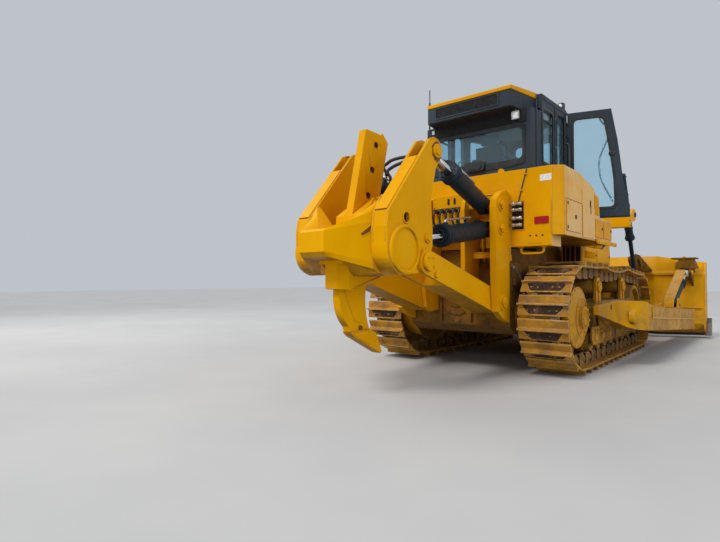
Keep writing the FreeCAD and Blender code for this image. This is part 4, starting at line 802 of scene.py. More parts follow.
# ---------------------------------------------------------------- final drives, stands, rollers
for tag, s in SIDES:
    kit = Kit().use("drive")
    kit.use("drivebolt")
    kit.use("drive")
    z = SPR_Z
    kit.lathe((0, s * 1.560, z), (0, s * 3, z), [(0, 0.152), (0.012, 0.152), (0.016, 0.146), (0.016, 0.070), (0.010, 0.066)], 32)
    kit.use("drivebolt")
    kit.bolts((0, s * 1.576, z), (0, s, 0), 0.112, 9, 0.021, 0.018)
    kit.use("drive")
    kit.torus((0, s * 1.530, z), (0, s, 0), 0.252, 0.010, 40)
    kit.use("drivebolt")
    kit.bolts((0, s * 1.470, z), (0, s, 0), 0.374, 20, 0.018, 0.017)
    kit.use("drive")
    kit.torus((0, s * 1.470, z), (0, s, 0), 0.402, 0.008, 48)
    for k in range(9):                                            # ribs of the cover
        g = 2 * math.pi * k / 9 + 0.2
        c, d = math.cos(g), math.sin(g)
        p = [(c * 0.20 - d * 0.012, s * 1.548, z + d * 0.20 + c * 0.012), (c * 0.20 + d * 0.012, s * 1.548, z + d * 0.20 - c * 0.012),
             (c * 0.385 + d * 0.012, s * 1.474, z + d * 0.385 - c * 0.012), (c * 0.385 - d * 0.012, s * 1.474, z + d * 0.385 + c * 0.012)]
        q = [(x, y - s * 0.03, w) for x, y, w in p]
        kit.add(p + q, [(0, 1, 2, 3), (7, 6, 5, 4), (0, 4, 5, 1), (1, 5, 6, 2), (2, 6, 7, 3), (3, 7, 4, 0)])
    kit.use("drivebolt")
    kit.bolts((0, s * 1.095, z), (0, s, 0), 0.36, 14, 0.020, 0.018)
    kit.finish("drive_fittings_" + tag, "machine", bevel=0.002)

    kit = Kit().use("drive")
    kit.use("soiled")
    kit.use("drive")
    for i, x in enumerate((1.00, 2.44)):                          # carrier roller stands
        zc = SPR_Z + SPR_R - 0.006 * i - RAIL - 0.030 - 0.1
        top = [(x - 0.135, 0.946), (x + 0.135, 0.946), (x + 0.118, 1.06)] + arc((x, 1.195), 0.108, -8, 188, 12) + [(x - 0.118, 1.06)]
        kit.prism(top, s * 1.428, s * 1.468, "XZ")
        kit.lathe((x, s * 1.466, zc), (x, s * 3, zc), [(0, 0.088), (0.024, 0.088), (0.032, 0.080), (0.032, 0.040), (0.026, 0.036)], 28)
        kit.bolts((x, s * 1.497, zc), (0, s, 0), 0.060, 5, 0.010, 0.009)
        for d in (-0.105, 0.105):
            kit.bolt((x + d, s * 1.445, 0.975), (0, 0, 1), 0.016, 0.014)
        kit.prism([(x - 0.02, 0.95), (x + 0.02, 0.95), (x + 0.02, 1.10), (x - 0.02, 1.10)], s * 1.465, s * 1.484, "XZ")
    for k in range(7):                                            # roller caps and guard bolts
        x = 0.76 + 0.376 * k
        kit.lathe((x, s * 1.488, 0.435), (x, s * 3, 0.435), [(0, 0.052), (0.014, 0.052), (0.018, 0.046)], 20)
        for d in (-0.13, 0.13):
            kit.bolt((x + d, s * 1.490, 0.52), (0, s, 0), 0.014, 0.012)
            kit.bolt((x + d, s * 1.490, 0.36), (0, s, 0), 0.014, 0.012)
    kit.box((0.66, 3.12), (s * 1.488, s * 1.500), (0.560, 0.590))
    kit.prism([(3.02, 0.60), (3.70, 0.64), (3.70, 0.80), (3.02, 0.84)], s * 1.488, s * 1.502, "XZ")
    kit.lathe((IDL_X, s * 1.448, IDL_Z), (IDL_X, s * 3, IDL_Z), [(0, 0.105), (0.03, 0.105), (0.045, 0.09)], 28)
    kit.bolts((IDL_X, s * 1.49, IDL_Z), (0, s, 0), 0.07, 6, 0.011, 0.010)
    kit.finish("roller_fittings_" + tag, "machine", bevel=0.003)

# ---------------------------------------------------------------- push arms and blade
for tag, s in SIDES:
    kit = Kit().use("push")
    # cap of the ball joint on the round casting
    px, pz = 1.075, 0.735
    kit.lathe((px, s * 1.880, pz), (px, s * 3, pz), [(0, 0.118), (0.050, 0.112), (0.074, 0.090), (0.080, 0.05)], 32)
    # drain hole in the tail of the arm, a dark disc of painted shade
    kit.use("seam_and_hole_shade")
    kit.lathe((0.630, s * 1.724, 0.884), (0.630, s * 3, 0.884), [(0, 0.040), (0.010, 0.040)], 18)
    kit.use("push")
    # top and side lines of the arm
    def arm(x):
        rows = ((1.140, 1.640, 2.010, 0.545, 0.962), (1.250, 1.640, 2.060, 0.535, 0.948), (1.360, 1.640, 2.080, 0.528, 0.915), (1.460, 1.640, 2.080, 0.520, 0.888), (2.7, 1.655, 2.100, 0.435, 0.802), (5.55, 1.680, 2.140, 0.240, 0.655))
        for a, b in zip(rows[:-1], rows[1:]):
            if x <= b[0]:
                q = (x - a[0]) / (b[0] - a[0])
                return [u + (v - u) * q for u, v in zip(a, b)]
        return list(rows[-1])
    line = [arm(x) for x in (1.46, 2.0, 2.7, 3.25, 4.0, 4.75, 5.3)]
    for a, b in zip(line[:-1], line[1:]):                         # welded plate overlap on the outer web
        za, zb = a[3] + 0.52 * (a[4] - a[3]), b[3] + 0.52 * (b[4] - b[3])
        ya, yb = a[2], b[2]
        v = [(a[0], s * (ya - 0.01), za), (b[0], s * (yb - 0.01), zb), (b[0], s * (yb - 0.01), b[4] - 0.012), (a[0], s * (ya - 0.01), a[4] - 0.012),
             (a[0], s * (ya + 0.013), za), (b[0], s * (yb + 0.013), zb), (b[0], s * (yb + 0.013), b[4] - 0.012), (a[0], s * (ya + 0.013), a[4] - 0.012)]
        kit.add(v, [(0, 3, 2, 1), (4, 5, 6, 7), (0, 1, 5, 4), (1, 2, 6, 5), (2, 3, 7, 6), (3, 0, 4, 7)])
    kit.use("weld")
    kit.bead([(a[0], s * (a[2] + 0.012), a[3] + 0.52 * (a[4] - a[3]) - 0.004) for a in line], 0.009, 3)
    kit.bead([(a[0], s * (a[1] + 0.006), a[4] + 0.002) for a in line], 0.007, 5)
    kit.use("push")
    # clamps and hard line of the tilt cylinder along the arm's top
    kit.tube([(1.55, s * 1.72, 0.905), (2.2, s * 1.72, 0.868), (3.0, s * 1.74, 0.812), (3.6, s * 1.76, 0.786), (3.80, s * 1.82, 0.820), (3.93, s * 1.88, 0.850)], 0.017, 8)
    for x in (1.75, 2.35, 2.95):
        kit.box((x - 0.03, x + 0.03), (s * 1.69, s * 1.75), (arm(x)[4] - 0.01, arm(x)[4] + 0.045))
        kit.bolt((x, s * 1.70, arm(x)[4] + 0.044), (0, 0, 1), 0.010, 0.009)
    # tilt cylinder foot pin heads
    for k in (-1, 1):
        y = s * 1.970 + k * 0.117
        kit.lathe((3.980, y, 0.835), (3.980, y + k, 0.835), [(0, 0.056), (0.016, 0.056), (0.022, 0.048)], 24)
        kit.bolts((3.980, y + k * 0.018, 0.835), (0, k, 0), 0.033, 3, 0.008, 0.007)
    kit.finish("push_arm_fittings_" + tag, "push_frame", bevel=0.004)

    # long cover strip over the tilt cylinder
    kit = Kit().use("push")
    d = Vector((1.58, 0, 0.585)).normalized()
    nrm = Vector((-d.z, 0, d.x))
    stations = [Vector(p) for p in ((3.795, 0, 0.752), (3.815, 0, 0.820), (3.860, 0, 0.892), (3.941, 0, 0.940), (4.60, 0, 1.184), (5.36, 0, 1.465))]
    sec = [(-0.088, -0.024), (-0.088, 0.004), (-0.074, 0.018), (0.074, 0.018), (0.088, 0.004), (0.088, -0.024), (0.076, -0.024), (0.076, 0.0), (0.066, 0.006), (-0.066, 0.006), (-0.076, 0.0), (-0.076, -0.024)]
    v, n = [], len(sec)
    for i, p in enumerate(stations):
        t0 = (stations[min(i + 1, len(stations) - 1)] - stations[max(i - 1, 0)]).normalized()
        v += [(p.x - t0.z * h, s * 1.930 + w, p.z + t0.x * h) for w, h in sec]
    faces = [tuple(range(n - 1, -1, -1)), tuple(range((len(stations) - 1) * n, len(stations) * n))]
    for k in range(len(stations) - 1):
        faces += [(k * n + i, k * n + (i + 1) % n, (k + 1) * n + (i + 1) % n, (k + 1) * n + i) for i in range(n)]
    kit.add(v, faces)
    for q in (0.06, 0.5, 0.94):
        p = stations[3] + (stations[5] - stations[3]) * q + nrm * 0.018
        kit.bolt((p.x, s * 1.930, p.z), nrm, 0.013, 0.011)
    kit.use("barrel")
    for dist, r in ((0.95, 0.094), (1.075, 0.096)):
        c = Vector((3.98, s * 1.97, 0.835)) + d * dist
        kit.torus(c, d, r, 0.007, 28, 6)
    kit.use("chrome")
    kit.finish("tilt_guard_" + tag, "push_frame", bevel=0.002)

# blade: back rib, stiffeners, knob over the ears, bolts of the cutting edge and its end bits
kit = Kit().use("blade")
WING, HALF = 1.400, 2.280


def blade_dx(y):
    return 0.0 if abs(y) <= WING else (abs(y) - WING) / (HALF - 0.03 - WING) * 0.400


for s in (-1, 1):
    # rib across the back
    y0, y1 = 0.0, s * 1.38
    for (xa, xb, za, zb) in ((5.555, 5.61, 1.380, 1.425), (5.560, 5.61, 0.660, 0.700)):
        kit.box((xa, xb), (0, s * 1.395), (za, zb))
        m = [(xa, s * 1.395), (xb, s * 1.395), (xb + blade_dx(2.24), s * 2.24), (xa + blade_dx(2.24), s * 2.24)]
        kit.prism(m, za, zb, "XY")
    for y in (0.45, 0.80):                                        # stiffeners between the ribs
        kit.prism([(5.562, 0.698), (5.61, 0.698), (5.61, 1.382), (5.562, 1.382)], s * y - 0.014, s * y + 0.014, "XZ")
    # knob on the flat cap over the tilt ears
    kit.lathe((5.600, s * 1.960, 1.738), (5.600, s * 1.960, 4), [(0, 0.030), (0.020, 0.030), (0.032, 0.018)], 18)
kit.use("weld")
for s in (-1, 1):
    kit.bead([(5.602, s * 0.02, 1.378), (5.602, s * 1.39, 1.378)], 0.008, 4)
    kit.bead([(5.602, s * 0.02, 1.428), (5.602, s * 1.39, 1.428)], 0.008, 9)
    for y in (0.985 - 0.02, 1.175 + 0.02):
        kit.bead([(5.600, s * y, 1.00), (5.600, s * y, 1.38)], 0.008, 7)
kit.finish("blade_fittings", "push_frame", bevel=0.003)

kit = Kit().use("edge")
for s in (-1, 1):
    for k in range(7):                                            # bolts of the cutting edge on its front
        y = s * (0.12 + 0.20 * k)
        kit.bolt((6.052, y, 0.270), (0.974, 0, 0.225), 0.020, 0.014)
    for k in range(5):
        y = s * (1.50 + 0.17 * k)
        dx = blade_dx(y)
        kit.bolt((6.052 + dx, y, 0.270), (0.93, -s * 0.36, 0.2), 0.020, 0.014)
for s in (-1, 1):                                                 # end bit plates with bolts
    for z in (0.130, 0.235, 0.340):
        kit.bolt((6.430 + 0.010 * (z - 0.06) / 0.27 - 0.003, s * 2.310, z), (1, 0, 0), 0.018, 0.014)
kit.finish("edge_bolts", "push_frame", bevel=0.002)

# lift cylinders: bands, ports and pin heads
kit = Kit().use("barrel")
p0, p1 = Vector((4.620, 0, 2.620)), Vector((5.440, 0, 1.130))
d = (p1 - p0).normalized()
for s in (-1, 1):
    base = Vector((p0.x, s * 1.080, p0.z))
    for dist, r in ((-0.84, 0.082), (-0.45, 0.080), (0.30, 0.080), (0.52, 0.094)):
        kit.torus(base + d * dist, d, r, 0.008, 26, 6)
    kit.lathe(base - d * 0.905, base, [(0.0, 0.050), (0.012, 0.070), (0.03, 0.078), (0.05, 0.080)], 26)
    for k in (-1, 1):
        y = base.y + k * 0.150
        kit.lathe((p0.x, y, p0.z), (p0.x, y + k, p0.z), [(0, 0.052), (0.014, 0.052), (0.02, 0.044)], 22)
        kit.bolts((p0.x, y + k * 0.016, p0.z), (0, k, 0), 0.030, 3, 0.008, 0.007)
    up = Vector((d.z * -1, 0, d.x))
    q = base - d * 0.75 + up * 0.07
    kit.tube([q, q + up * 0.035, base - d * 0.60 + up * 0.115, base - d * 0.2 + up * 0.115, base + d * 0.35 + up * 0.112, base + d * 0.47 + up * 0.095], 0.016, 8)
kit.finish("lift_barrel_fittings", "lift_barrels", bevel=0.0)

# blank discs on the lift rods' eyes and pins through the lift ears
kit = Kit().use("blade")
for s in (-1, 1):
    for k in (-1, 1):
        y = s * 1.080 + k * 0.115
        kit.lathe((5.440, y, 1.130), (5.440, y + k, 1.130), [(0, 0.062), (0.020, 0.062), (0.026, 0.054)], 24)
        kit.bolts((5.440, y + k * 0.022, 1.130), (0, k, 0), 0.036, 3, 0.009, 0.008)
    kit.cyl((5.440, s * 1.080 - 0.115, 1.130), (5.440, s * 1.080 + 0.115, 1.130), 0.034, 20)
    for k in (-1, 1):
        y = s * 1.970 + k * 0.125
        kit.lathe((5.560, y, 1.420), (5.560, y + k, 1.420), [(0, 0.062), (0.018, 0.062), (0.024, 0.054)], 24)
    kit.cyl((5.560, s * 1.970 - 0.12, 1.420), (5.560, s * 1.970 + 0.12, 1.420), 0.034, 20)
kit.finish("blade_pins", "push_frame", bevel=0.002)

# ---------------------------------------------------------------- rear tank, steps, valve box
kit = Kit().use("tank")
kit.use("seam_and_hole_shade")
kit.use("silver")
kit.use("pipe")
kit.use("black")
kit.use("white")
kit.use("red")
BX = -0.550
# raised lower panel of each half, with its crease
kit.use("tank")
for s in (-1, 1):
    kit.prism([(s * 0.985, 1.708), (s * 1.312, 1.708), (s * 1.322, 1.722), (s * 1.322, 2.292), (s * 1.308, 2.306), (s * 0.985, 2.306)], BX - 0.012, BX + 0.02, "YZ")
    kit.prism([(s * 0.560, 1.708), (s * 0.800, 1.708), (s * 0.800, 2.306), (s * 0.560, 2.306)], BX - 0.012, BX + 0.02, "YZ")
    kit.prism([(s * 0.800, 1.708), (s * 0.985, 1.708), (s * 0.985, 1.925), (s * 0.800, 1.925)], BX - 0.012, BX + 0.02, "YZ")
    kit.prism([(s * 1.03, 1.742), (s * 1.217, 1.742), (s * 1.217, 1.749), (s * 1.03, 1.749)], BX - 0.016, BX, "YZ")
# weld lines down the bevelled corners and along the top edge
kit.use("weld")
for s in (-1, 1):
    kit.bead([(BX - 0.001, s * 1.338, 1.86), (BX - 0.001, s * 1.338, 2.72)], 0.006, 2)
    kit.bead([(-0.455, s * 1.459, 1.86), (-0.455, s * 1.459, 2.72)], 0.006, 8)
    kit.bead([(-0.44, s * 1.459, 1.842), (0.85, s * 1.459, 1.842)], 0.006, 12)
# opening with four tubes and the pipes beside it; the opening is a dark box of painted shade
kit.use("seam_and_hole_shade")
kit.box((BX - 0.006, BX + 0.01), (-0.805, -0.980), (1.930, 2.302))
kit.use("tank")
for y in (-0.803, -0.982):
    kit.box((BX - 0.018, BX), (y - 0.006, y + 0.006), (1.925, 2.306))
kit.box((BX - 0.018, BX), (-0.80, -0.985), (1.921, 1.933))
kit.use("silver")
for z in (2.270, 2.190, 2.080, 1.990):
    kit.lathe((BX - 0.045, -0.815, z), (BX - 0.045, -2, z), [(0, 0.016), (0.008, 0.020), (0.125, 0.020), (0.130, 0.024), (0.142, 0.024), (0.146, 0.014)], 14)
    kit.lathe((BX - 0.045, -0.838, z), (BX - 0.045, -2, z), [(0, 0.028), (0.022, 0.028)], 6)
    kit.lathe((BX - 0.045, -0.928, z), (BX - 0.045, -2, z), [(0, 0.026), (0.016, 0.026)], 6)
kit.use("pipe")
for k, z in enumerate((2.270, 2.190, 2.080, 1.990)):
    y1 = -0.56 - 0.02 * k
    kit.tube([(BX - 0.045, -0.822, z), (BX - 0.045, -0.74, z), (BX - 0.050, -0.66, z - 0.02 * k), (BX - 0.055, y1, z - 0.10), (BX - 0.04, y1 + 0.06, z - 0.30)], 0.017, 9)
# reflector, blank plate, drilled holes, cable; the holes are dark discs of painted shade
kit.use("red")
kit.prism(rounded(-1.300, 1.990, -1.115, 2.083, 0.012, 3), BX - 0.022, BX - 0.010, "YZ")
kit.prism(rounded(1.115, 1.990, 1.300, 2.083, 0.012, 3), BX - 0.022, BX - 0.010, "YZ")
kit.use("white")
kit.box((BX - 0.004, BX + 0.002), (-1.335, -1.185), (2.540, 2.625))
kit.use("seam_and_hole_shade")
for y in (-1.058, -1.138, -1.218):
    kit.cyl((BX - 0.014, y, 1.840), (BX + 0.01, y, 1.840), 0.013, 14)
kit.use("black")
kit.tube([(BX - 0.008, -1.009, 2.735), (BX - 0.010, -1.004, 2.69), (BX - 0.010, -0.955, 2.52), (BX - 0.012, -0.915, 2.36), (BX - 0.016, -0.900, 2.28)], 0.007, 8)
kit.use("tank")
for y, z in ((-0.995, 2.66), (-0.935, 2.45)):
    kit.box((BX - 0.018, BX), (y - 0.02, y + 0.02), (z - 0.008, z + 0.008))
# lug, lifting eyes and filler caps on top
for s in (-1, 1):
    kit.prism([(s * 0.60, 2.725), (s * 0.68, 2.725), (s * 0.68, 2.765), (s * 0.655, 2.785), (s * 0.625, 2.785), (s * 0.60, 2.765)], BX + 0.02, BX + 0.05, "YZ")
kit.lathe((0.10, -1.10, 2.725), (0.10, -1.10, 4), [(0, 0.105), (0.018, 0.105), (0.022, 0.072), (0.055, 0.072), (0.060, 0.066), (0.060, 0.03), (0.072, 0.028)], 28)
kit.bolts((0.10, -1.10, 2.742), (0, 0, 1), 0.088, 6, 0.009, 0.008)
kit.box((-0.02, 0.07), (-0.985, -0.945), (2.725, 2.790))
kit.lathe((0.26, 1.12, 2.700), (0.26, 1.12, 4), [(0, 0.09), (0.040, 0.09), (0.045, 0.070), (0.080, 0.070), (0.084, 0.064)], 28)
# right and left flanks: door panel, seams, slot
for s in (-1, 1):
    Y = s * 1.460
    kit.use("tank")
    kit.prism(rounded(-0.400, 1.900, 0.215, 2.300, 0.03, 4), Y, Y + s * 0.014, "XZ")
    kit.prism([(0.285, 1.86), (0.850, 1.86), (0.850, 2.302), (0.285, 2.302)], Y, Y + s * 0.008, "XZ")
    # seam lines in dark brown; the slot is painted shade
    kit.use("seam_and_hole_shade")
    kit.box((0.262, 0.268), (Y, Y + s * 0.002), (1.86, 2.52))
    kit.box((-0.44, 0.262), (Y, Y + s * 0.002), (2.312, 2.318))
    kit.prism(rounded(0.640, 2.205, 0.662, 2.405, 0.010, 3), Y, Y + s * 0.012, "XZ")
    kit.use("black")
    kit.cyl((-0.05, Y + s * 0.012, 2.10), (-0.05, Y + s * 0.024, 2.10), 0.030, 20, 0.003)
    kit.box((-0.385, -0.355), (Y, Y + s * 0.022), (2.235, 2.275))
    kit.box((-0.385, -0.355), (Y, Y + s * 0.022), (1.925, 1.965))
    kit.use("silver")
    for x in (-0.36, 0.175):
        for z in (1.935, 2.265):
            kit.bolt((x, Y + s * 0.014, z), (0, s, 0), 0.009, 0.007)
kit.finish("tank_fittings", "machine", bevel=0.0025)

# step handles under the tank, bent from round bar
kit = Kit().use("tank")
for s in (-1, 1):
    x = -0.485
    kit.tube([(x, s * 0.905, 1.712), (x, s * 0.905, 1.66), (x, s * 0.925, 1.622), (x, s * 0.98, 1.614), (x, s * 1.13, 1.614), (x, s * 1.185, 1.622), (x, s * 1.205, 1.66), (x, s * 1.205, 1.712)], 0.017, 10, 4)
    for y in (0.905, 1.205):
        kit.box((x - 0.03, x + 0.03), (s * (y - 0.03), s * (y + 0.03)), (1.690, 1.702))
kit.finish("step_handles", "machine", bevel=0.002, replaces=("rear_steps",))

# valve box between the posts with its sloping cover, slots, fittings and hoses
kit = Kit().use("yellow")
for key in ("seam_and_hole_shade", "black", "rubber", "silver", "weld"):
    kit.use(key)
kit.use("yellow")
FX = -0.800
kit.prism([(-0.275, 2.449), (-0.338, 2.270), (-0.338, 1.985), (-0.275, 1.940)], FX + 0.005, -0.565, "YZ")
kit.box((FX - 0.012, FX + 0.004), (-0.262, 0.262), (1.915, 2.195))
kit.box((FX - 0.010, FX + 0.004), (-0.262, 0.262), (2.275, 2.440))
for y in (-0.24, 0.24):
    for z in (1.94, 2.17, 2.30, 2.42):
        kit.bolt((FX - 0.010, y, z), (-1, 0, 0), 0.011, 0.010)
# slots: dark plates of painted shade
kit.use("seam_and_hole_shade")
for y in (0.009, -0.087):
    kit.prism(rounded(y - 0.018, 2.315, y + 0.018, 2.405, 0.015, 4), FX - 0.0125, FX, "YZ")
kit.use("black")
for k, y in enumerate((0.19, 0.09, -0.01, -0.11, -0.20)):
    kit.lathe((FX, y, 2.235), (FX - 1, y, 2.235), [(0, 0.034), (0.012, 0.034), (0.016, 0.024), (0.05, 0.024), (0.055, 0.030), (0.075, 0.030)], 14)
kit.use("rubber")
for k, y in enumerate((0.19, 0.09, -0.01, -0.11, -0.20)):
    kit.tube([(FX - 0.055, y, 2.235), (FX - 0.090, y, 2.215), (FX - 0.098, y + 0.010, 2.14), (FX - 0.070, y + 0.018, 2.06), (FX - 0.002, y + 0.020, 2.02)], 0.014, 9)
kit.finish("valve_box_fittings", "machine", bevel=0.002)

# back of the main frame: shelf, round covers, ribs, drain plates, hoses to the drives
kit = Kit().use("frame")
for key in ("seam_and_hole_shade", "rubber", "silver", "rust", "weld"):
    kit.use(key)
kit.use("frame")
RX = -0.600
kit.box((RX - 0.022, RX), (-0.26, 0.26), (1.330, 1.372))
kit.lathe((RX, 0, 1.000), (RX - 1, 0, 1.0), [(0, 0.235), (0.020, 0.235), (0.026, 0.225), (0.026, 0.13), (0.045, 0.12), (0.050, 0.11)], 40)
kit.bolts((RX - 0.022, 0, 1.000), (-1, 0, 0), 0.205, 12, 0.014, 0.012)
kit.box((RX - 0.016, RX), (-0.20, 0.20), (1.43, 1.49))
for y in (-0.235, 0.235):
    kit.prism([(RX, 0.66), (RX - 0.055, 0.70), (RX - 0.055, 1.28), (RX, 1.33)], y - 0.012, y + 0.012, "XZ")
kit.lathe((RX, 0.0, 0.70), (RX - 1, 0, 0.70), [(0, 0.055), (0.018, 0.055), (0.022, 0.035), (0.035, 0.035)], 18)
for s in (-1, 1):                                                 # bolted flange where each drive case meets the frame
    kit.lathe((0, s * 0.795, SPR_Z), (0, s * 3, SPR_Z), [(0, 0.455), (0.022, 0.455), (0.026, 0.448)], 48)
    kit.bolts((0, s * 0.817, SPR_Z), (0, s, 0), 0.428, 22, 0.013, 0.012)
    kit.prism([(-0.52, 1.29), (-0.10, 1.29), (-0.16, 1.20), (-0.40, 1.16), (-0.52, 1.20)], s * 0.795, s * 0.835, "XZ")
    kit.use("rubber")
    kit.hose([(-0.54, s * 0.80, 1.44), (-0.56, s * 0.86, 1.40), (-0.46, s * 0.90, 1.24), (-0.30, s * 0.88, 1.12), (-0.20, s * 0.84, 1.06)], 0.018)
    kit.use("frame")
kit.finish("rear_frame_fittings", "machine", bevel=0.003)

# fittings on the ripper posts: bosses, keeper plates, weld lines
kit = Kit().use("yellow")
for key in ("weld", "silver", "rust"):
    kit.use(key)
for s in (-1, 1):
    for (x, z), r in (((-0.86, 2.235), 0.085), ((-0.86, 1.93), 0.085), ((-0.79, 0.975), 0.115)):
        kit.use("yellow")
        kit.lathe((x, s * 0.790, z), (x, s * 3, z), [(0, r), (0.010, r), (0.014, r * 0.94)], 32)
        kit.lathe((x, s * 0.812, z), (x, s * 3, z), [(0, r * 0.66), (0.010, r * 0.66), (0.014, r * 0.60)], 28)
        kit.prism(rounded(x - r * 0.95, z - 0.020, x + r * 0.1, z + 0.020, 0.012, 3), s * 0.824, s * 0.836, "XZ")
        kit.bolt((x - r * 0.76, s * 0.836, z), (0, s, 0), 0.013, 0.011)
        kit.lathe((x, s * 0.705, z), (x, s * 0.2, z), [(0, r), (0.008, r)], 32)
        kit.lathe((x, s * 0.345, z), (x, s * 3, z), [(0, r), (0.010, r)], 32)
    kit.use("weld")
    kit.bead([(-0.575, s * 0.790, 2.36), (-0.575, s * 0.790, 1.55)], 0.008, 5)
    for z in (1.56, 1.63, 2.33, 2.40):
        kit.bead([(-0.762, s * 0.70, z), (-0.762, s * 0.35, z)], 0.007, 6)
    kit.use("yellow")
    kit.prism([(-0.62, 1.60), (-0.62, 1.90), (-0.56, 2.02), (-0.56, 1.50)], s * 0.40, s * 0.425, "XZ")
    kit.box((-0.61, -0.55), (s * 0.70, s * 0.80), (1.52, 1.60))
kit.finish("post_fittings", "machine", bevel=0.002)

# ---------------------------------------------------------------- cab
def round_poly(pts, r, n=5):
    """Same outline with round corners, n + 1 points at each."""
    out = []
    m = len(pts)
    for i in range(m):
        p, a, b = Vector(pts[i]), Vector(pts[i - 1]), Vector(pts[(i + 1) % m])
        u, v = (a - p), (b - p)
        k = min(r, 0.45 * u.length, 0.45 * v.length)
        s0, s1 = p + u.normalized() * k, p + v.normalized() * k
        for j in range(n + 1):
            q = j / n
            w = (1 - q) ** 2 * s0 + 2 * q * (1 - q) * p + q * q * s1
            out.append((w.x, w.y))
    return out


def inset(pts, d):
    """Outline moved in by d; works for either direction."""
    m = len(pts)
    area2 = sum(pts[i][0] * pts[(i + 1) % m][1] - pts[(i + 1) % m][0] * pts[i][1] for i in range(m))
    sg = 1.0 if area2 > 0 else -1.0
    lines = []
    for i in range(m):
        a, b = Vector(pts[i]), Vector(pts[(i + 1) % m])
        t = (b - a).normalized()
        nrm = Vector((-t.y, t.x)) * sg
        lines.append((a + nrm * d, t))
    out = []
    for i in range(m):
        (p, t), (q, w) = lines[i - 1], lines[i]
        den = t.x * w.y - t.y * w.x
        if abs(den) < 1e-6:
            out.append((q.x, q.y))
        else:
            k = ((q.x - p.x) * w.y - (q.y - p.y) * w.x) / den
            out.append((p.x + t.x * k, p.y + t.y * k))
    return out


kit = Kit().use("seal")
for key in ("cab", "black", "silver", "yellow", "rubber", "black_and_shade", "liner"):
    kit.use(key)
kit.use("seal")
RXW = -0.020
band(kit, rounded(-0.775, 2.930, 0.775, 3.535, 0.05), rounded(-0.738, 3.010, 0.738, 3.478, 0.075), RXW - 0.012, RXW + 0.004, "YZ")
kit.prism([(-0.62, 2.932), (0.62, 2.932), (0.56, 2.908), (-0.56, 2.908)], RXW - 0.010, RXW + 0.002, "YZ")
# wiper drive and its arm
kit.use("black")
kit.prism(rounded(-0.170, 2.915, 0.150, 3.058, 0.045, 5), RXW - 0.060, RXW, "YZ")
kit.prism(rounded(-0.120, 2.94, 0.100, 3.035, 0.035, 5), RXW - 0.075, RXW - 0.058, "YZ")
kit.tube([(RXW - 0.070, 0.02, 3.00), (RXW - 0.045, 0.16, 3.015), (RXW - 0.022, 0.62, 3.035)], 0.008, 8, 3)
kit.tube([(RXW - 0.016, 0.30, 3.040), (RXW - 0.014, 0.48, 3.045), (RXW - 0.016, 0.70, 3.050)], 0.009, 8, 3)
# header over the rear glass, soffit and louvre of the duct: near-black trim, darkened as painted shade under the
# overhang and between the slats
kit.use("black_and_shade")
kit.box((RXW - 0.014, RXW + 0.002), (-0.800, 0.800), (3.540, 3.722))
kit.prism([(-0.286, -0.676), (0.318, -0.786), (0.318, 0.786), (-0.286, 0.676)], 3.712, 3.7245, "XY")
kit.prism(rounded(-0.49, 3.775, 0.53, 3.925, 0.02, 3), -0.2945, -0.285, "YZ")
kit.use("cab")
band(kit, rounded(-0.51, 3.757, 0.55, 3.942, 0.028, 3), rounded(-0.487, 3.778, 0.527, 3.922, 0.018, 3), -0.300, -0.288, "YZ")
kit.use("liner")
kit.prism([(0.30, -0.70), (2.28, -0.52), (2.28, 0.52), (0.30, 0.70)], 3.950, 3.968, "XY")
kit.use("black_and_shade")
for k in range(8):
    z = 3.786 + 0.0175 * k
    kit.add([(-0.299, -0.488, z), (-0.290, -0.488, z + 0.010), (-0.290, 0.528, z + 0.010), (-0.299, 0.528, z),
             (-0.2965, -0.488, z - 0.002), (-0.2875, -0.488, z + 0.008), (-0.2875, 0.528, z + 0.008), (-0.2965, 0.528, z - 0.002)],
            [(0, 1, 2, 3), (7, 6, 5, 4), (0, 4, 5, 1), (1, 5, 6, 2), (2, 6, 7, 3), (3, 7, 4, 0)])
for y in (-0.15, 0.19):
    kit.box((-0.3000, -0.290), (y - 0.006, y + 0.006), (3.778, 3.922))
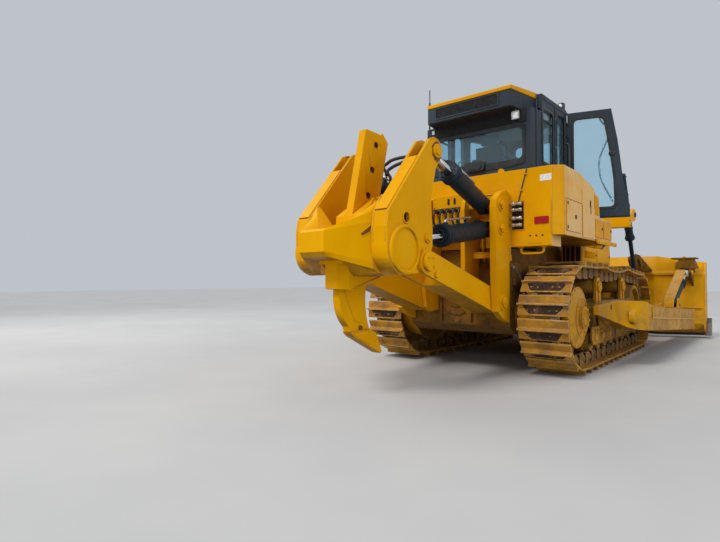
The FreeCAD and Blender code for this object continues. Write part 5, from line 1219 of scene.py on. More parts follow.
# seams and edge strips of the duct and roof
for s in (-1, 1):
    kit.use("cab")
    kit.prism([(0.40, s * 0.893), (1.35, s * 0.917), (1.35, s * 0.932), (0.40, s * 0.908)], 3.930, 3.974, "XY")
    kit.use("seal")
    # frame lines round the side windows, in the plane of the slightly angled wall
    slope = 0.02558
    kit.M = Matrix(((1.0, 0.0, 0, 0.06), (s * slope, 1.0, 0, s * 0.892), (0, 0, 1, 0), (0, 0, 0, 1)))
    for x0, x1, z0, z1 in ((0.262, 0.683, 2.985, 3.805), (0.817, 1.163, 2.985, 3.860)):
        band(kit, rounded(x0 - 0.020, z0 - 0.020, x1 + 0.020, z1 + 0.020, 0.04), rounded(x0 + 0.022, z0 + 0.022, x1 - 0.022, z1 - 0.022, 0.05), s * -0.004, s * 0.010, "XZ")
    kit.box((0.262, 0.683), (s * -0.020, s * -0.002), (3.618, 3.640))
    kit.use("cab")
    kit.box((0.740, 0.775), (0.0, s * 0.012), (2.72, 3.92))
    kit.box((0.03, 1.27), (0.0, s * 0.014), (2.735, 2.765))
    kit.box((0.03, 0.06), (0.0, s * 0.012), (2.77, 3.92))
    kit.use("silver")
    for z in (2.85, 3.30, 3.75):
        kit.bolt((0.757, s * 0.012, z), (0, s, 0), 0.009, 0.007)
    kit.M = Matrix.Identity(4)
    # hand rail beside the door and hinge brackets
    kit.use("black")
    kit.tube([(1.215, s * 0.915, 2.66), (1.215, s * 0.985, 2.68), (1.215, s * 0.990, 2.80), (1.215, s * 0.990, 3.30), (1.215, s * 0.985, 3.42), (1.215, s * 0.915, 3.44)], 0.014, 10, 4)
    kit.use("cab")
    for z in (2.45, 3.05, 3.60):
        h = 0.15 if z != 3.05 else 0.10
        kit.box((1.300, 1.352), (s * 0.905, s * 0.950), (z - 0.045, z - 0.008))
        kit.box((1.300, 1.352), (s * 0.905, s * 0.950), (z + h + 0.008, z + h + 0.045))
kit.use("seal")
band(kit, rounded(-0.45, 2.68, 0.45, 3.88, 0.06), rounded(-0.405, 2.725, 0.405, 3.835, 0.07), 2.444, 2.458, "YZ")
kit.use("black")
kit.tube([(2.470, 0.05, 2.700), (2.475, 0.10, 2.85), (2.462, 0.22, 3.15)], 0.009, 8, 3)
kit.tube([(2.462, 0.10, 2.95), (2.460, 0.22, 3.15), (2.462, 0.32, 3.36)], 0.010, 8, 3)
kit.prism(rounded(-0.06, 2.66, 0.12, 2.74, 0.03, 4), 2.452, 2.490, "YZ")
# grab irons at the front corner posts
for s in (-1, 1):
    kit.tube([(2.395, s * 0.60, 2.60), (2.435, s * 0.66, 2.62), (2.44, s * 0.665, 2.80), (2.44, s * 0.665, 3.10), (2.43, s * 0.655, 3.16), (2.395, s * 0.60, 3.18)], 0.013, 10, 4)
# lifting eyes, roof bolts and a turned foot at the rear
kit.use("cab")
for s in (-1, 1):
    for x in (0.62, 2.05):
        y = s * (0.74 if x < 1 else 0.52)
        kit.prism([(x - 0.05, 4.008), (x + 0.05, 4.008), (x + 0.05, 4.035)] + arc((x, 4.045), 0.035, 0, 180, 6) + [(x - 0.05, 4.035)], y - 0.010, y + 0.010, "XZ")
    for x in (0.60, 1.1, 1.6, 2.1):
        kit.bolt((x, s * 0.30, 4.010), (0, 0, 1), 0.012, 0.010)
kit.lathe((-0.250, 0.670, 3.985), (-0.250, 0.670, 5), [(0, 0.030), (0.035, 0.028), (0.045, 0.016), (0.085, 0.012), (0.090, 0.008)], 16)
kit.finish("cab_fittings", "machine", bevel=0.002)

# lamps: housings, bezels, lenses, brackets
kit = Kit().use("lamp")
for key in ("silver", "black"):
    kit.use(key)


def square_lamp(x0, x1, ya, yb, z0, z1, back, shell):
    """Lamp whose lens looks to -x (back) or +x."""
    kit.use(shell)
    xf, xr = (x0, x1) if back else (x1, x0)
    d = 0.006 if back else -0.006
    w, h = yb - ya, z1 - z0
    outl = [(ya, z0), (yb, z0), (yb, z1), (ya, z1)]
    o1, o2 = round_poly(outl, 0.012, 3), round_poly(inset(outl, 0.014), 0.010, 3)
    band(kit, o1, o2, min(xf, xf + d * 4), max(xf, xf + d * 4), "YZ")
    small = round_poly([(ya + w * 0.2, z0 + h * 0.2), (yb - w * 0.2, z0 + h * 0.2), (yb - w * 0.2, z1 - h * 0.2), (ya + w * 0.2, z1 - h * 0.2)], 0.01, 3)
    n = len(o1)
    v = [(xf + d * 3.5, p, q) for p, q in o1] + [(xr, p, q) for p, q in small]
    kit.add(v, [tuple(range(n)), tuple(range(2 * n - 1, n - 1, -1))] + [(i, (i + 1) % n, n + (i + 1) % n, n + i) for i in range(n)])
    kit.use("lamp")
    kit.prism(o2, min(xf + d, xf + d * 2.2), max(xf + d, xf + d * 2.2), "YZ")


square_lamp(-0.200, -0.120, -0.765, -0.655, 3.535, 3.650, True, "silver")
square_lamp(-0.190, -0.130, 0.610, 0.685, 3.560, 3.650, True, "black")
kit.use("black")
for y0, y1, zt in ((-0.705, -0.675, 3.645), (0.638, 0.658, 3.645)):
    kit.box((-0.170, -0.150), (y0, y1), (zt, 3.724))
    kit.box((-0.185, -0.135), (y0 - 0.015, y1 + 0.015), (3.706, 3.716))
for s in (-1, 1):
    square_lamp(2.300, 2.370, min(s * 0.300, s * 0.480), max(s * 0.300, s * 0.480), 4.020, 4.080, False, "black")
    kit.use("black")
    kit.box((2.315, 2.345), (s * 0.375, s * 0.405), (4.010, 4.022))
    kit.lathe((1.300, s * 0.850, 4.011), (1.300, s * 0.850, 5), [(0, 0.044), (0.008, 0.052), (0.026, 0.058), (0.090, 0.060), (0.112, 0.054), (0.126, 0.030)], 28)
    kit.use("lamp")
    kit.lathe((1.248, s * 0.850, 4.075), (1.0, s * 0.850, 4.075), [(0, 0.034), (0.008, 0.032), (0.012, 0.020)], 20)
kit.finish("lamps_made", "machine", bevel=0.0015, replaces=("work_lamps",))

# ---------------------------------------------------------------- doors
LEAF = [(0, 2.245), (0.885, 2.245), (0.885, 2.420), (0.815, 2.700), (0.790, 2.862), (0.757, 3.183), (0.722, 3.466), (0.636, 3.966), (0, 3.966)]
PANE = [(0.066, 2.390), (0.702, 2.390), (0.690, 2.864), (0.652, 3.183), (0.612, 3.466), (0.545, 3.880), (0.066, 3.880)]
for tag, s, angle, body in (("r", -1, -72.9, "right_door"), ("l", 1, -17.1, "left_door")):
    inn = -s
    c, d = math.cos(math.radians(angle)), math.sin(math.radians(angle))
    T = Matrix(((c, -d, 0, 1.362), (d, c, 0, s * 0.925), (0, 0, 1, 0), (0, 0, 0, 1)))
    kit = Kit().use("seal")
    for key in ("cab", "black", "silver"):
        kit.use(key)
    kit.M = T
    kit.use("seal")
    outl, inl = round_poly(inset(PANE, -0.006), 0.045, 5), round_poly(inset(PANE, 0.030), 0.075, 5)
    for depth in (-0.004, 0.034):
        y0, y1 = inn * depth, inn * (depth + 0.014)
        band(kit, outl, inl, min(y0, y1), max(y0, y1), "XZ")
    kit.use("cab")
    edge_o, edge_i = round_poly(inset(LEAF, 0.004), 0.03, 4), round_poly(inset(LEAF, 0.024), 0.03, 4)
    band(kit, edge_o, edge_i, min(inn * 0.043, inn * 0.058), max(inn * 0.043, inn * 0.058), "XZ")
    kit.prism(rounded(0.05, 2.270, 0.850, 2.368, 0.015, 3), min(inn * 0.044, inn * 0.056), max(inn * 0.044, inn * 0.056), "XZ")
    kit.prism(rounded(0.04, 2.262, 0.862, 2.374, 0.015, 3), min(inn * -0.010, inn * 0.002), max(inn * -0.010, inn * 0.002), "XZ")
    kit.use("black")
    # lock, inner handle, striker plates at the free edge
    kit.lathe((0.640, inn * 0.048, 3.265), (0.640, inn * 3, 3.265), [(0, 0.045), (0.020, 0.045), (0.028, 0.036), (0.028, 0.018), (0.040, 0.016)], 24)
    kit.lathe((0.640, inn * -0.002, 3.265), (0.640, inn * -3, 3.265), [(0, 0.042), (0.012, 0.042), (0.018, 0.034)], 24)
    kit.box((0.676, 0.716), (inn * 0.010, inn * 0.050), (3.385, 3.455))
    kit.box((0.830, 0.876), (inn * 0.006, inn * 0.050), (2.320, 2.400))
    kit.box((0.740, 0.800), (inn * 0.045, inn * 0.075), (2.62, 2.76))
    for z in (2.525, 3.10, 3.675):
        kit.box((0.004, 0.070), (inn * 0.044, inn * 0.054), (z - 0.055, z + 0.055))
        for k in (-0.035, 0.035):
            kit.bolt((0.045, inn * 0.054, z + k), (0, inn, 0), 0.010, 0.008)
    kit.use("silver")
    kit.tube([(0.470, inn * 0.050, 3.865), (0.500, inn * 0.085, 3.800), (0.590, inn * 0.090, 3.68), (0.600, inn * 0.090, 3.54), (0.520, inn * 0.090, 3.35), (0.467, inn * 0.090, 3.18), (0.468, inn * 0.090, 3.02), (0.490, inn * 0.090, 2.88), (0.560, inn * 0.090, 2.70), (0.630, inn * 0.085, 2.56), (0.650, inn * 0.050, 2.50)], 0.014, 10, 6)
    kit.M = Matrix.Identity(4)
    kit.finish("door_fittings_" + tag, body, bevel=0.002)

# ---------------------------------------------------------------- operator's seat and controls
def crowned(name, low, high, crown, lean=0.0, mat="seat", seams=3, channel=0.014, axis=2):
    """Upholstered pad: a fine block with full edges, a crowned face and stitched channels.
    axis is the direction in which the face bulges: 2 up, 0 forward."""
    nx, ny, nz = 26, 26, 10
    lo, hi = Vector(low), Vector(high)
    size = hi - lo
    bm = bmesh.new()
    bmesh.ops.create_cube(bm, size=2.0)
    bmesh.ops.subdivide_edges(bm, edges=bm.edges[:], cuts=21, use_grid_fill=True)
    for v in bm.verts:
        p = v.co.copy()
        # soft corners: a super-ellipsoid between a box and a round
        q = Vector((abs(p.x), abs(p.y), abs(p.z)))
        m = max(q.x, q.y, q.z)
        pn = (q.x ** 7 + q.y ** 7 + q.z ** 7) ** (1 / 7)
        p = p * (m / pn)
        u = p.copy()
        other = [i for i in range(3) if i != axis]
        rise = (1 - u[other[0]] ** 2) * (1 - u[other[1]] ** 2)
        along = u[axis]
        half = size[axis] / 2
        out = u[axis] * (half - crown) + (crown if along > 0 else -0.0) * rise * max(along, 0)
        # stitched channels across the face and a welt round the rim
        groove = 0.0
        if along > 0.4:
            for k in range(seams):
                c = -0.62 + 1.24 * k / max(1, seams - 1) if seams > 1 else 0.0
                groove += channel * math.exp(-((u[other[0] if axis == 2 else 2] - c) / 0.045) ** 2) * (1 if abs(u[1]) < 0.72 else 0)
            for c in (-0.72, 0.72):
                groove += channel * math.exp(-((u[1] - c) / 0.05) ** 2)
        out -= groove
        co = [0, 0, 0]
        co[axis] = (lo[axis] + hi[axis]) / 2 + out
        for i in other:
            co[i] = (lo[i] + hi[i]) / 2 + u[i] * size[i] / 2
        if lean:
            co[0] += lean * (co[2] - low[2])
        v.co = (co[0] + SHIFT, co[1], co[2])
    bmesh.ops.recalc_face_normals(bm, faces=bm.faces)
    me = bpy.data.meshes.new(name)
    bm.to_mesh(me)
    bm.free()
    me.materials.append(M[mat])
    for p in me.polygons:
        p.use_smooth = True
    ob = bpy.data.objects.new(name, me)
    SCENE.collection.objects.link(ob)
    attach(ob, "machine")
    return ob


crowned("seat_cushion", (0.475, -0.255, 2.864), (1.000, 0.255, 3.000), 0.035, seams=3, axis=2)
crowned("seat_backrest", (0.472, -0.240, 2.985), (0.604, 0.240, 3.405), 0.040, lean=-0.085, seams=3, axis=0)
crowned("seat_headrest", (0.437, -0.150, 3.427), (0.528, 0.150, 3.595), 0.022, seams=1, channel=0.006, axis=0)

kit = Kit().use("plastic")
for key in ("black", "silver"):
    kit.use(key)
kit.use("black")
kit.prism(rounded(0.50, -0.20, 0.85, 0.20, 0.03, 4), 2.751, 2.772, "XY")
for k in range(3):                                                # rubber bellows of the suspension
    z = 2.772 + 0.021 * k
    w = 0.168 if k % 2 == 0 else 0.150
    kit.prism(rounded(0.675 - w, -w, 0.675 + w, w, 0.04, 4), z, z + 0.022, "XY")
kit.prism(rounded(0.485, -0.235, 0.960, 0.235, 0.04, 4), 2.832, 2.868, "XY")
for s in (-1, 1):
    kit.tube([(0.482, s * 0.04, 3.36), (0.482, s * 0.04, 3.46)], 0.009, 8)
    # arm rests
    kit.tube([(0.50, s * 0.27, 2.95), (0.50, s * 0.285, 3.10), (0.51, s * 0.29, 3.18)], 0.016, 8, 4)
kit.use("plastic")
for s in (-1, 1):
    kit.prism(arc((0.80, 3.215), 0.028, -90, 90, 5) + arc((0.51, 3.215), 0.028, 90, 270, 5), s * 0.255, s * 0.325, "XZ")
kit.prism([(0.456, 2.985), (0.490, 2.985), (0.452, 3.40), (0.430, 3.40)], -0.225, 0.225, "XZ")
kit.finish("seat_base_made", "machine", bevel=0.004, replaces=("operator_seat",))

kit = Kit().use("plastic")
for key in ("black", "silver", "inner", "rubber"):
    kit.use(key)
for s in (-1, 1):                                                 # console tops with levers
    kit.use("black")
    kit.prism([(0.57, 3.055), (1.12, 3.055), (1.10, 3.080), (0.61, 3.086)], s * 0.350, s * 0.535, "XZ")
    kit.use("rubber")
    kit.lathe((0.95, s * 0.442, 3.078), (0.95, s * 0.442, 5), [(0, 0.055), (0.015, 0.05), (0.03, 0.032), (0.045, 0.036), (0.06, 0.022), (0.075, 0.026), (0.09, 0.015)], 20)
    kit.use("silver")
    kit.tube([(0.95, s * 0.442, 3.150), (0.96, s * 0.442, 3.230)], 0.010, 8)
    kit.use("black")
    kit.lathe((0.962, s * 0.442, 3.220), (0.98, s * 0.442, 5), [(0, 0.014), (0.02, 0.026), (0.08, 0.030), (0.11, 0.026), (0.12, 0.012)], 18)
    kit.box((0.66, 0.78), (s * 0.40, s * 0.49), (3.082, 3.100))
kit.use("black")
kit.prism([(2.14, 2.76), (2.35, 2.76), (2.35, 2.80), (2.20, 2.90), (2.13, 2.86)], -0.34, 0.34, "XZ")
kit.use("silver")
for y in (-0.2, -0.07, 0.07, 0.2):
    kit.lathe((2.165, y, 2.835), (1.9, y, 3.20), [(0, 0.038), (0.008, 0.038), (0.012, 0.030)], 20)
kit.use("black")
for s in (-1, 1):                                                 # pedals
    kit.prism([(2.02, 2.28), (2.05, 2.27), (2.13, 2.40), (2.10, 2.42)], s * 0.14 - 0.05, s * 0.14 + 0.05, "XZ")
kit.finish("console_fittings", "machine", bevel=0.003)

# ---------------------------------------------------------------- ripper
LEAN = math.radians(13.4)
P0 = (-2.590, 2.505)


def shank_pt(down, back):
    return (P0[0] - math.sin(LEAN) * down - math.cos(LEAN) * back, P0[1] - math.cos(LEAN) * down + math.sin(LEAN) * back)


# shank: rusty bores, bolts and wear shoe of the tip
kit = Kit().use("rust")
for key in ("ripper", "weld", "edge"):
    kit.use(key)
for down in (-0.302, 0.0, 0.306):
    x, z = shank_pt(down, 0)
    for s in (-1, 1):
        kit.use("rust")
        kit.torus((x, s * 0.0495, z), (0, 1, 0), 0.0345, 0.0045, 32, 6)
    n = 28
    ring = [(x + 0.0318 * math.cos(2 * math.pi * k / n), z + 0.0318 * math.sin(2 * math.pi * k / n)) for k in range(n)]
    v = [(px, y, pz) for y in (-0.0495, 0.0495) for px, pz in ring]
    kit.add(v, [(k, (k + 1) % n, n + (k + 1) % n, n + k) for k in range(n)])
kit.use("ripper")
x, z = shank_pt(1.37, 0.02)
for s in (-1, 1):                                                 # wear plates near the foot
    pts = [shank_pt(1.18, 0.10), shank_pt(1.44, 0.13), (-2.90, 0.83), (-2.80, 0.80), shank_pt(1.36, -0.06), shank_pt(1.20, -0.02)]
    kit.prism(pts, s * 0.049, s * 0.058, "XZ")
    kit.use("rust")
    kit.lathe((-2.800, s * 0.050, 0.742), (-2.8, s * 3, 0.742), [(0, 0.026), (0.018, 0.026), (0.022, 0.020)], 18)
    kit.use("ripper")
kit.finish("shank_fittings", "rip_shank", bevel=0.002)

# tip: worn point with its socket line
kit = Kit().use("ripper")
kit.use("weld")
kit.use("ripper")
for s in (-1, 1):
    kit.prism([(-2.930, 0.690), (-2.880, 0.655), (-2.640, 0.540), (-2.600, 0.660), (-2.660, 0.706)], s * 0.060, s * 0.069, "XZ")
kit.use("weld")
for s in (-1, 1):
    kit.bead([(-2.955, s * 0.060, 0.704), (-2.80, s * 0.060, 0.712), (-2.645, s * 0.060, 0.716)], 0.007, 4)
kit.finish("tip_fittings", "rip_shank", bevel=0.003)

# bracket plates, caps and weld seams
kit = Kit().use("ripper")
for key in ("weld", "rust", "seam_and_hole_shade"):
    kit.use(key)
BACK_LINE = [(-2.890, 1.315), (-3.060, 1.440), (-3.101, 1.640), (-3.106, 1.790), (-3.081, 1.940), (-2.345, 2.801)]
for s in (-1, 1):
    kit.use("ripper")
    # sloping cover plate over the back, set in from the side plates
    a, b = (-3.070, 1.958), (-2.536, 2.576)
    t = Vector((b[0] - a[0], b[1] - a[1])).normalized()
    nn = Vector((-t.y, t.x))
    if nn.x > 0:
        nn = -nn
    p = [(a[0] + nn.x * -0.004, a[1] + nn.y * -0.004), (b[0] + nn.x * -0.004, b[1] + nn.y * -0.004), (b[0] + nn.x * 0.014, b[1] + nn.y * 0.014), (a[0] + nn.x * 0.014, a[1] + nn.y * 0.014)]
    kit.prism(p, s * 0.474, s * 0.626, "XZ")
    # heavy ring of the side cap
    cx, cz = -2.830, 1.573
    kit.lathe((cx, s * 0.666, cz), (cx, s * 3, cz), [(0, 0.203), (0.006, 0.202), (0.012, 0.192), (0.014, 0.06), (0.012, 0.02)], 56)
    kit.torus((cx, s * 0.682, cz), (0, 1, 0), 0.232, 0.013, 64, 8)
    kit.torus((-2.785, s * 0.653, 1.900), (0, 1, 0), 0.060, 0.011, 36, 10)
    # bore of the eye: a dark disc of painted shade
    kit.use("seam_and_hole_shade")
    kit.lathe((-2.785, s * 0.614, 1.900), (-2.785, s * 3, 1.900), [(0, 0.0497), (0.003, 0.0497)], 28)
    kit.use("ripper")
    # bosses of the upper and lower cylinder eyes
    for (x, z), r in (((-2.195, 2.690), 0.082), ((-2.395, 1.715), 0.084)):
        for y, dd in ((0.455, -s), (0.652, s)):
            if z < 2 and y > 0.6:
                r = 0.057
            kit.lathe((x, s * y, z), (x, s * y + dd, z), [(0, r), (0.016, r), (0.022, r - 0.008)], 32)
            kit.lathe((x, s * y + dd * 0.018, z), (x, s * y + dd * 2, z), [(0, r * 0.60), (0.012, r * 0.60), (0.016, r * 0.54)], 28)
            kit.bolts((x, s * y + dd * 0.020, z), (0, dd, 0), r * 0.78, 4, 0.008, 0.007, 0.4)
        kit.cyl((x, s * 0.485, z), (x, s * 0.620, z), 0.034, 20)
    kit.use("weld")
    kit.bead([(x + 0.004, s * 0.626, z + 0.000) for x, z in BACK_LINE], 0.006, 21)
    kit.bead([(x + 0.004, s * 0.474, z + 0.000) for x, z in BACK_LINE[2:]], 0.006, 22)
    kit.bead([(a[0], s * 0.478, a[1] + 0.010), (a[0], s * 0.624, a[1] + 0.010)], 0.006, 23)
    n = 44
    kit.bead([(cx + 0.253 * math.cos(2 * math.pi * k / n), s * 0.653, cz + 0.253 * math.sin(2 * math.pi * k / n)) for k in range(n + 1)], 0.006, 31)
    # stain where grease and rust run from the upper pin
    kit.use("rust")
    rnd = random.Random(70)
    blot = []
    for k in range(34):
        g = 2 * math.pi * k / 34
        q = 0.098 + 0.020 * rnd.random()
        blot.append((-2.197 + q * math.cos(g) * 0.92, 2.694 + q * math.sin(g) * (1.12 if math.sin(g) < 0 else 0.98)))
    kit.prism(blot, s * 0.651, s * 0.6535, "XZ")
    kit.use("weld")
    # short toothed weld at the top lobe
    kit.bead([(-2.335, s * 0.648, 2.800), (-2.255, s * 0.650, 2.829), (-2.170, s * 0.648, 2.808)], 0.009, 26)
    kit.use("rust")
    kit.bead([(-2.30, s * 0.60, 2.812), (-2.22, s * 0.60, 2.826)], 0.006, 27)
kit.finish("bracket_fittings", "rip_beam", bevel=0.002)

# beam: seams along the bow, windows in its oblique sides, lock pin of the shank
BOW_END = [(-3.000, 1.334), (-3.058, 1.372), (-3.074, 1.440), (-3.074, 1.850), (-3.040, 1.960), (-2.960, 2.095), (-2.905, 2.095), (-2.880, 1.334)]
BOW_MID = [(-3.330, 1.478), (-3.455, 1.492), (-3.490, 1.540), (-3.490, 1.742), (-3.466, 1.768), (-3.220, 1.800), (-2.940, 1.800), (-2.940, 1.440)]


def bow_at(k, t):
    """Corner k of the bow, t from 0 at the middle block to 1 at the bracket."""
    a, b = BOW_MID[k], BOW_END[k]
    return (a[0] + (b[0] - a[0]) * t, 0.172 + (0.455 - 0.172) * t, a[1] + (b[1] - a[1]) * t)


def bow_face(t, z, lift=0.0):
    """Point of the oblique side at height z, raised a little off its face."""
    a, b = Vector(bow_at(2, t)), Vector(bow_at(3, t))
    q = (z - a.z) / (b.z - a.z)
    p = a + (b - a) * q
    n = Vector((-0.562, 0.827, 0.0))
    return p + n * lift


kit = Kit().use("ripper")
for key in ("weld", "rust", "seam_and_hole_shade", "shade"):
    kit.use(key)
for s in (-1, 1):
    kit.use("shade")
    tri = [bow_face(0.735, 1.7225), bow_face(0.985, 1.822), bow_face(0.944, 1.742), bow_face(0.780, 1.698)]
    v = [both(p + Vector((0.562, -0.827, 0.0)) * 0.010, s) for p in tri] + [both(p + Vector((-0.562, 0.827, 0.0)) * 0.0012, s) for p in tri]
    kit.add(v, [(0, 1, 2, 3), (7, 6, 5, 4), (0, 1, 5, 4), (1, 2, 6, 5), (2, 3, 7, 6), (3, 0, 4, 7)])
    kit.use("ripper")
    edge = [p + Vector((-0.562, 0.827, 0.0)) * 0.001 for p in tri]
    for a, b in ((0, 1), (1, 2), (2, 3), (3, 0)):
        kit.tube([both(edge[a], s), both(edge[b], s)], 0.004, 6, 1)
    kit.use("weld")
    # seam where the block's side plates start, and against the bracket
    kit.bead([both(bow_at(k, 0.985), s) for k in (1, 2, 3, 4, 5)], 0.006, 44)
    kit.bead([(-2.96, s * 0.163, 1.945), (-2.66, s * 0.163, 2.140), (-2.43, s * 0.163, 2.238)], 0.005, 46)
    kit.bead([(-3.055, s * 0.163, 1.165), (-2.80, s * 0.163, 1.240), (-2.60, s * 0.163, 1.295)], 0.006, 47)
# pin of the shank lock across the pocket, seen above the bow
for s in (-1, 1):
    kit.use("ripper")
    x, z = shank_pt(0.42, 0.0)
    kit.lathe((x, s * 0.158, z), (x, s * 3, z), [(0, 0.070), (0.016, 0.070), (0.022, 0.062), (0.022, 0.046), (0.038, 0.046), (0.042, 0.040)], 32)
    kit.bolts((x, s * 0.178, z), (0, s, 0), 0.057, 4, 0.007, 0.006)
kit.use("ripper")
kit.finish("beam_fittings", "rip_beam", bevel=0.002)

# lower arms: end covers, weld lines, grease pipe
A, B = Vector((-0.790, 0.975)), Vector((-2.454, 1.455))
u = (B - A).normalized()
w = Vector((u.y, -u.x))
if w.y < 0:
    w = -w


def off(p, a, n):
    return (p[0] + u[0] * a + w[0] * n, p[1] + u[1] * a + w[1] * n)


for tag, s in SIDES:
    kit = Kit().use("ripper")
    for key in ("weld", "rust", "rubber", "silver"):
        kit.use(key)
    kit.use("ripper")
    L = (B - A).length
    # box of the arm with round ends, forked at its rear
    def end(c, r, a0, a1, n=18):
        return [off(c, r * math.cos(math.radians(a0 + (a1 - a0) * i / n)), r * math.sin(math.radians(a0 + (a1 - a0) * i / n))) for i in range(n + 1)]
    ra, rb, cut_at = 0.150, 0.135, L - 0.430
    h = ra + (rb - ra) * cut_at / L
    kit.prism(end(A, ra, 90, 270) + [off(A, cut_at, -h), off(A, cut_at, h)], s * 0.352, s * 0.698, "XZ")
    for y0, y1 in ((0.352, 0.392), (0.660, 0.698)):
        kit.prism([off(A, cut_at, h), off(A, cut_at, -h)] + end(B, rb, -90, 90), s * y0, s * y1, "XZ")
    kit.lathe((A.x, s * 0.698, A.y), (A.x, s * 3, A.y), [(0, 0.118), (0.010, 0.118)], 36)
    kit.lathe((-2.296, s * 0.700, 1.317), (-2.296, s * 3, 1.317), [(-0.01, 0.034), (0.020, 0.034), (0.026, 0.026)], 20)
    kit.use("weld")
    for h in (0.142, -0.138):
        kit.bead([(off(A, 0.25, h)[0], s * 0.697, off(A, 0.25, h)[1]), (off(A, L - 0.50, h * 0.95)[0], s * 0.697, off(A, L - 0.50, h * 0.95)[1])], 0.004, 52)
    kit.use("silver")
    gx, gz = off(A, 0.16, 0.06)
    kit.lathe((gx, s * 0.700, gz), (gx, s * 3, gz), [(0, 0.010), (0.010, 0.010), (0.010, 0.005), (0.02, 0.006)], 10)
    kit.finish("rip_arm_made_" + tag, "rip_arms", bevel=0.006, replaces=("ripper_arms",) if s < 0 else ())

kit = Kit().use("ripper")
kit.use("silver")
for s in (-1, 1):                                                 # round cover of the rear pin
    x, z = -2.476 + 0.022, 1.447 + 0.008
    kit.use("ripper")
    kit.lathe((x, s * 0.728, z), (x, s * 3, z), [(0, 0.100), (0.008, 0.100), (0.012, 0.094), (0.012, 0.050), (0.008, 0.044)], 40)
    kit.bolts((x, s * 0.738, z), (0, s, 0), 0.070, 4, 0.014, 0.012, 0.785)
kit.finish("rip_pin_covers", "rip_pins", bevel=0.0015)


def barrel_dress(name, body, foot, eye, reach, r, seed):
    """Gland with bolts, wiper ring, port blocks with pipes."""
    kit = Kit().use("barrel")
    for key in ("silver", "weld", "rubber", "yellow"):
        kit.use(key)
    F, E = Vector((foot[0], 0, foot[1])), Vector((eye[0], 0, eye[1]))
    d = (E - F).normalized()
    up = Vector((-d.z, 0, d.x))
    if up.z < 0:
        up = -up
    for s in (-1, 1):
        base = Vector((F.x, s * 0.5535, F.z))
        g = base + d * reach
        kit.use("barrel")
        kit.lathe(g - d * 0.094, g + d, [(0.0, r + 0.002), (0.004, r + 0.020), (0.030, r + 0.020), (0.034, r + 0.013), (0.060, r + 0.013), (0.064, r + 0.020), (0.092, r + 0.020), (0.098, r + 0.012), (0.104, r - 0.012), (0.106, r - 0.045)], 40)
        kit.bolts(g + d * 0.006, d, r - 0.016, 10, 0.012, 0.012)
        kit.use("rubber")
        kit.torus(g + d * 0.012, d, r * 0.58, 0.006, 32, 6)
        kit.use("barrel")
        # ports on top with a hard pipe along the barrel
        for dist in (0.19, reach - 0.15):
            c = base + d * dist + up * (r - 0.012)
            kit.lathe(c, c + up, [(0, 0.036), (0.034, 0.036), (0.038, 0.030)], 18)
        kit.use("silver")
        a = base + d * 0.19 + up * (r + 0.030)
        b = base + d * (reach - 0.15) + up * (r + 0.020)
        kit.tube([b, b + up * 0.020, b - d * 0.05 + up * 0.038, b - d * 0.18 + up * 0.036, a + d * 0.26 + up * 0.030, a + d * 0.16 + up * 0.030, a + d * 0.10 + Vector((0, -s * 0.05, 0)) + up * 0.020], 0.014, 9)
        kit.use("barrel")
        for q in (0.38, 0.62):
            c = base + d * (0.19 + (reach - 0.34) * q)
            m = c + up * (r + 0.014)
            kit.lathe(m - up * 0.012, m + up, [(0, 0.024), (0.040, 0.024)], 8)
    return kit


pk = barrel_dress("pitch", "pitch_barrels", (-0.860, 2.235), (-2.195, 2.690), 0.960, 0.112, 61)
# two hoses hanging from one pitch barrel to the other
F, E = Vector((-0.860, 0, 2.235)), Vector((-2.195, 0, 2.690))
pk.use("rubber")
pd = (E - F).normalized()
pu = Vector((-pd.z, 0, pd.x))
if pu.z < 0:
    pu = -pu
start = [Vector((F.x, s * 0.5535, F.z)) + pd * 0.81 + pu * 0.135 for s in (1, -1)]
pk.hose([start[0], start[0] + Vector((-0.02, -0.05, 0.075)), (-1.93, 0.300, 2.700), (-2.000, 0.195, 2.713), (-2.010, 0.087, 2.748), (-2.000, -0.120, 2.752), (-1.94, -0.300, 2.715), start[1] + Vector((-0.02, 0.05, 0.070)), start[1]], 0.021)
low = [Vector((F.x, s * 0.5535, F.z)) + pd * 0.70 + pu * 0.125 for s in (1, -1)]
pk.hose([low[0], low[0] + Vector((-0.04, -0.06, 0.07)), (-1.90, 0.260, 2.640), (-1.980, 0.114, 2.668), (-1.990, -0.001, 2.690), (-1.985, -0.120, 2.704), (-1.90, -0.300, 2.660), low[1] + Vector((-0.04, 0.06, 0.07)), low[1]], 0.021)
pk.finish("pitch_barrel_fittings", "pitch_barrels", bevel=0.0)
rk = barrel_dress("raise", "raise_barrels", (-0.860, 1.930), (-2.395, 1.715), 1.130, 0.118, 62)
rk.finish("raise_barrel_fittings", "raise_barrels", bevel=0.0)

# rods: eye collars
for name, body, foot, eye in (("pitch_rod_fittings", "pitch_rods", (-0.860, 2.235), (-2.195, 2.690)), ("raise_rod_fittings", "raise_rods", (-0.860, 1.930), (-2.395, 1.715))):
    kit = Kit().use("barrel")
    kit.use("silver")
    kit.use("barrel")
    F, E = Vector((foot[0], 0, foot[1])), Vector((eye[0], 0, eye[1]))
    d = (E - F).normalized()
    for s in (-1, 1):
        c = Vector((E.x, s * 0.5535, E.z))
        kit.lathe(c - d * 0.125, c, [(0, 0.050), (0.004, 0.052), (0.050, 0.0535), (0.070, 0.050)], 28)
        for k in (-1, 1):
            kit.torus(c + Vector((0, k * 0.050, 0)), (0, 1, 0), 0.062, 0.005, 30, 6)
    kit.finish(name, body, bevel=0.0)

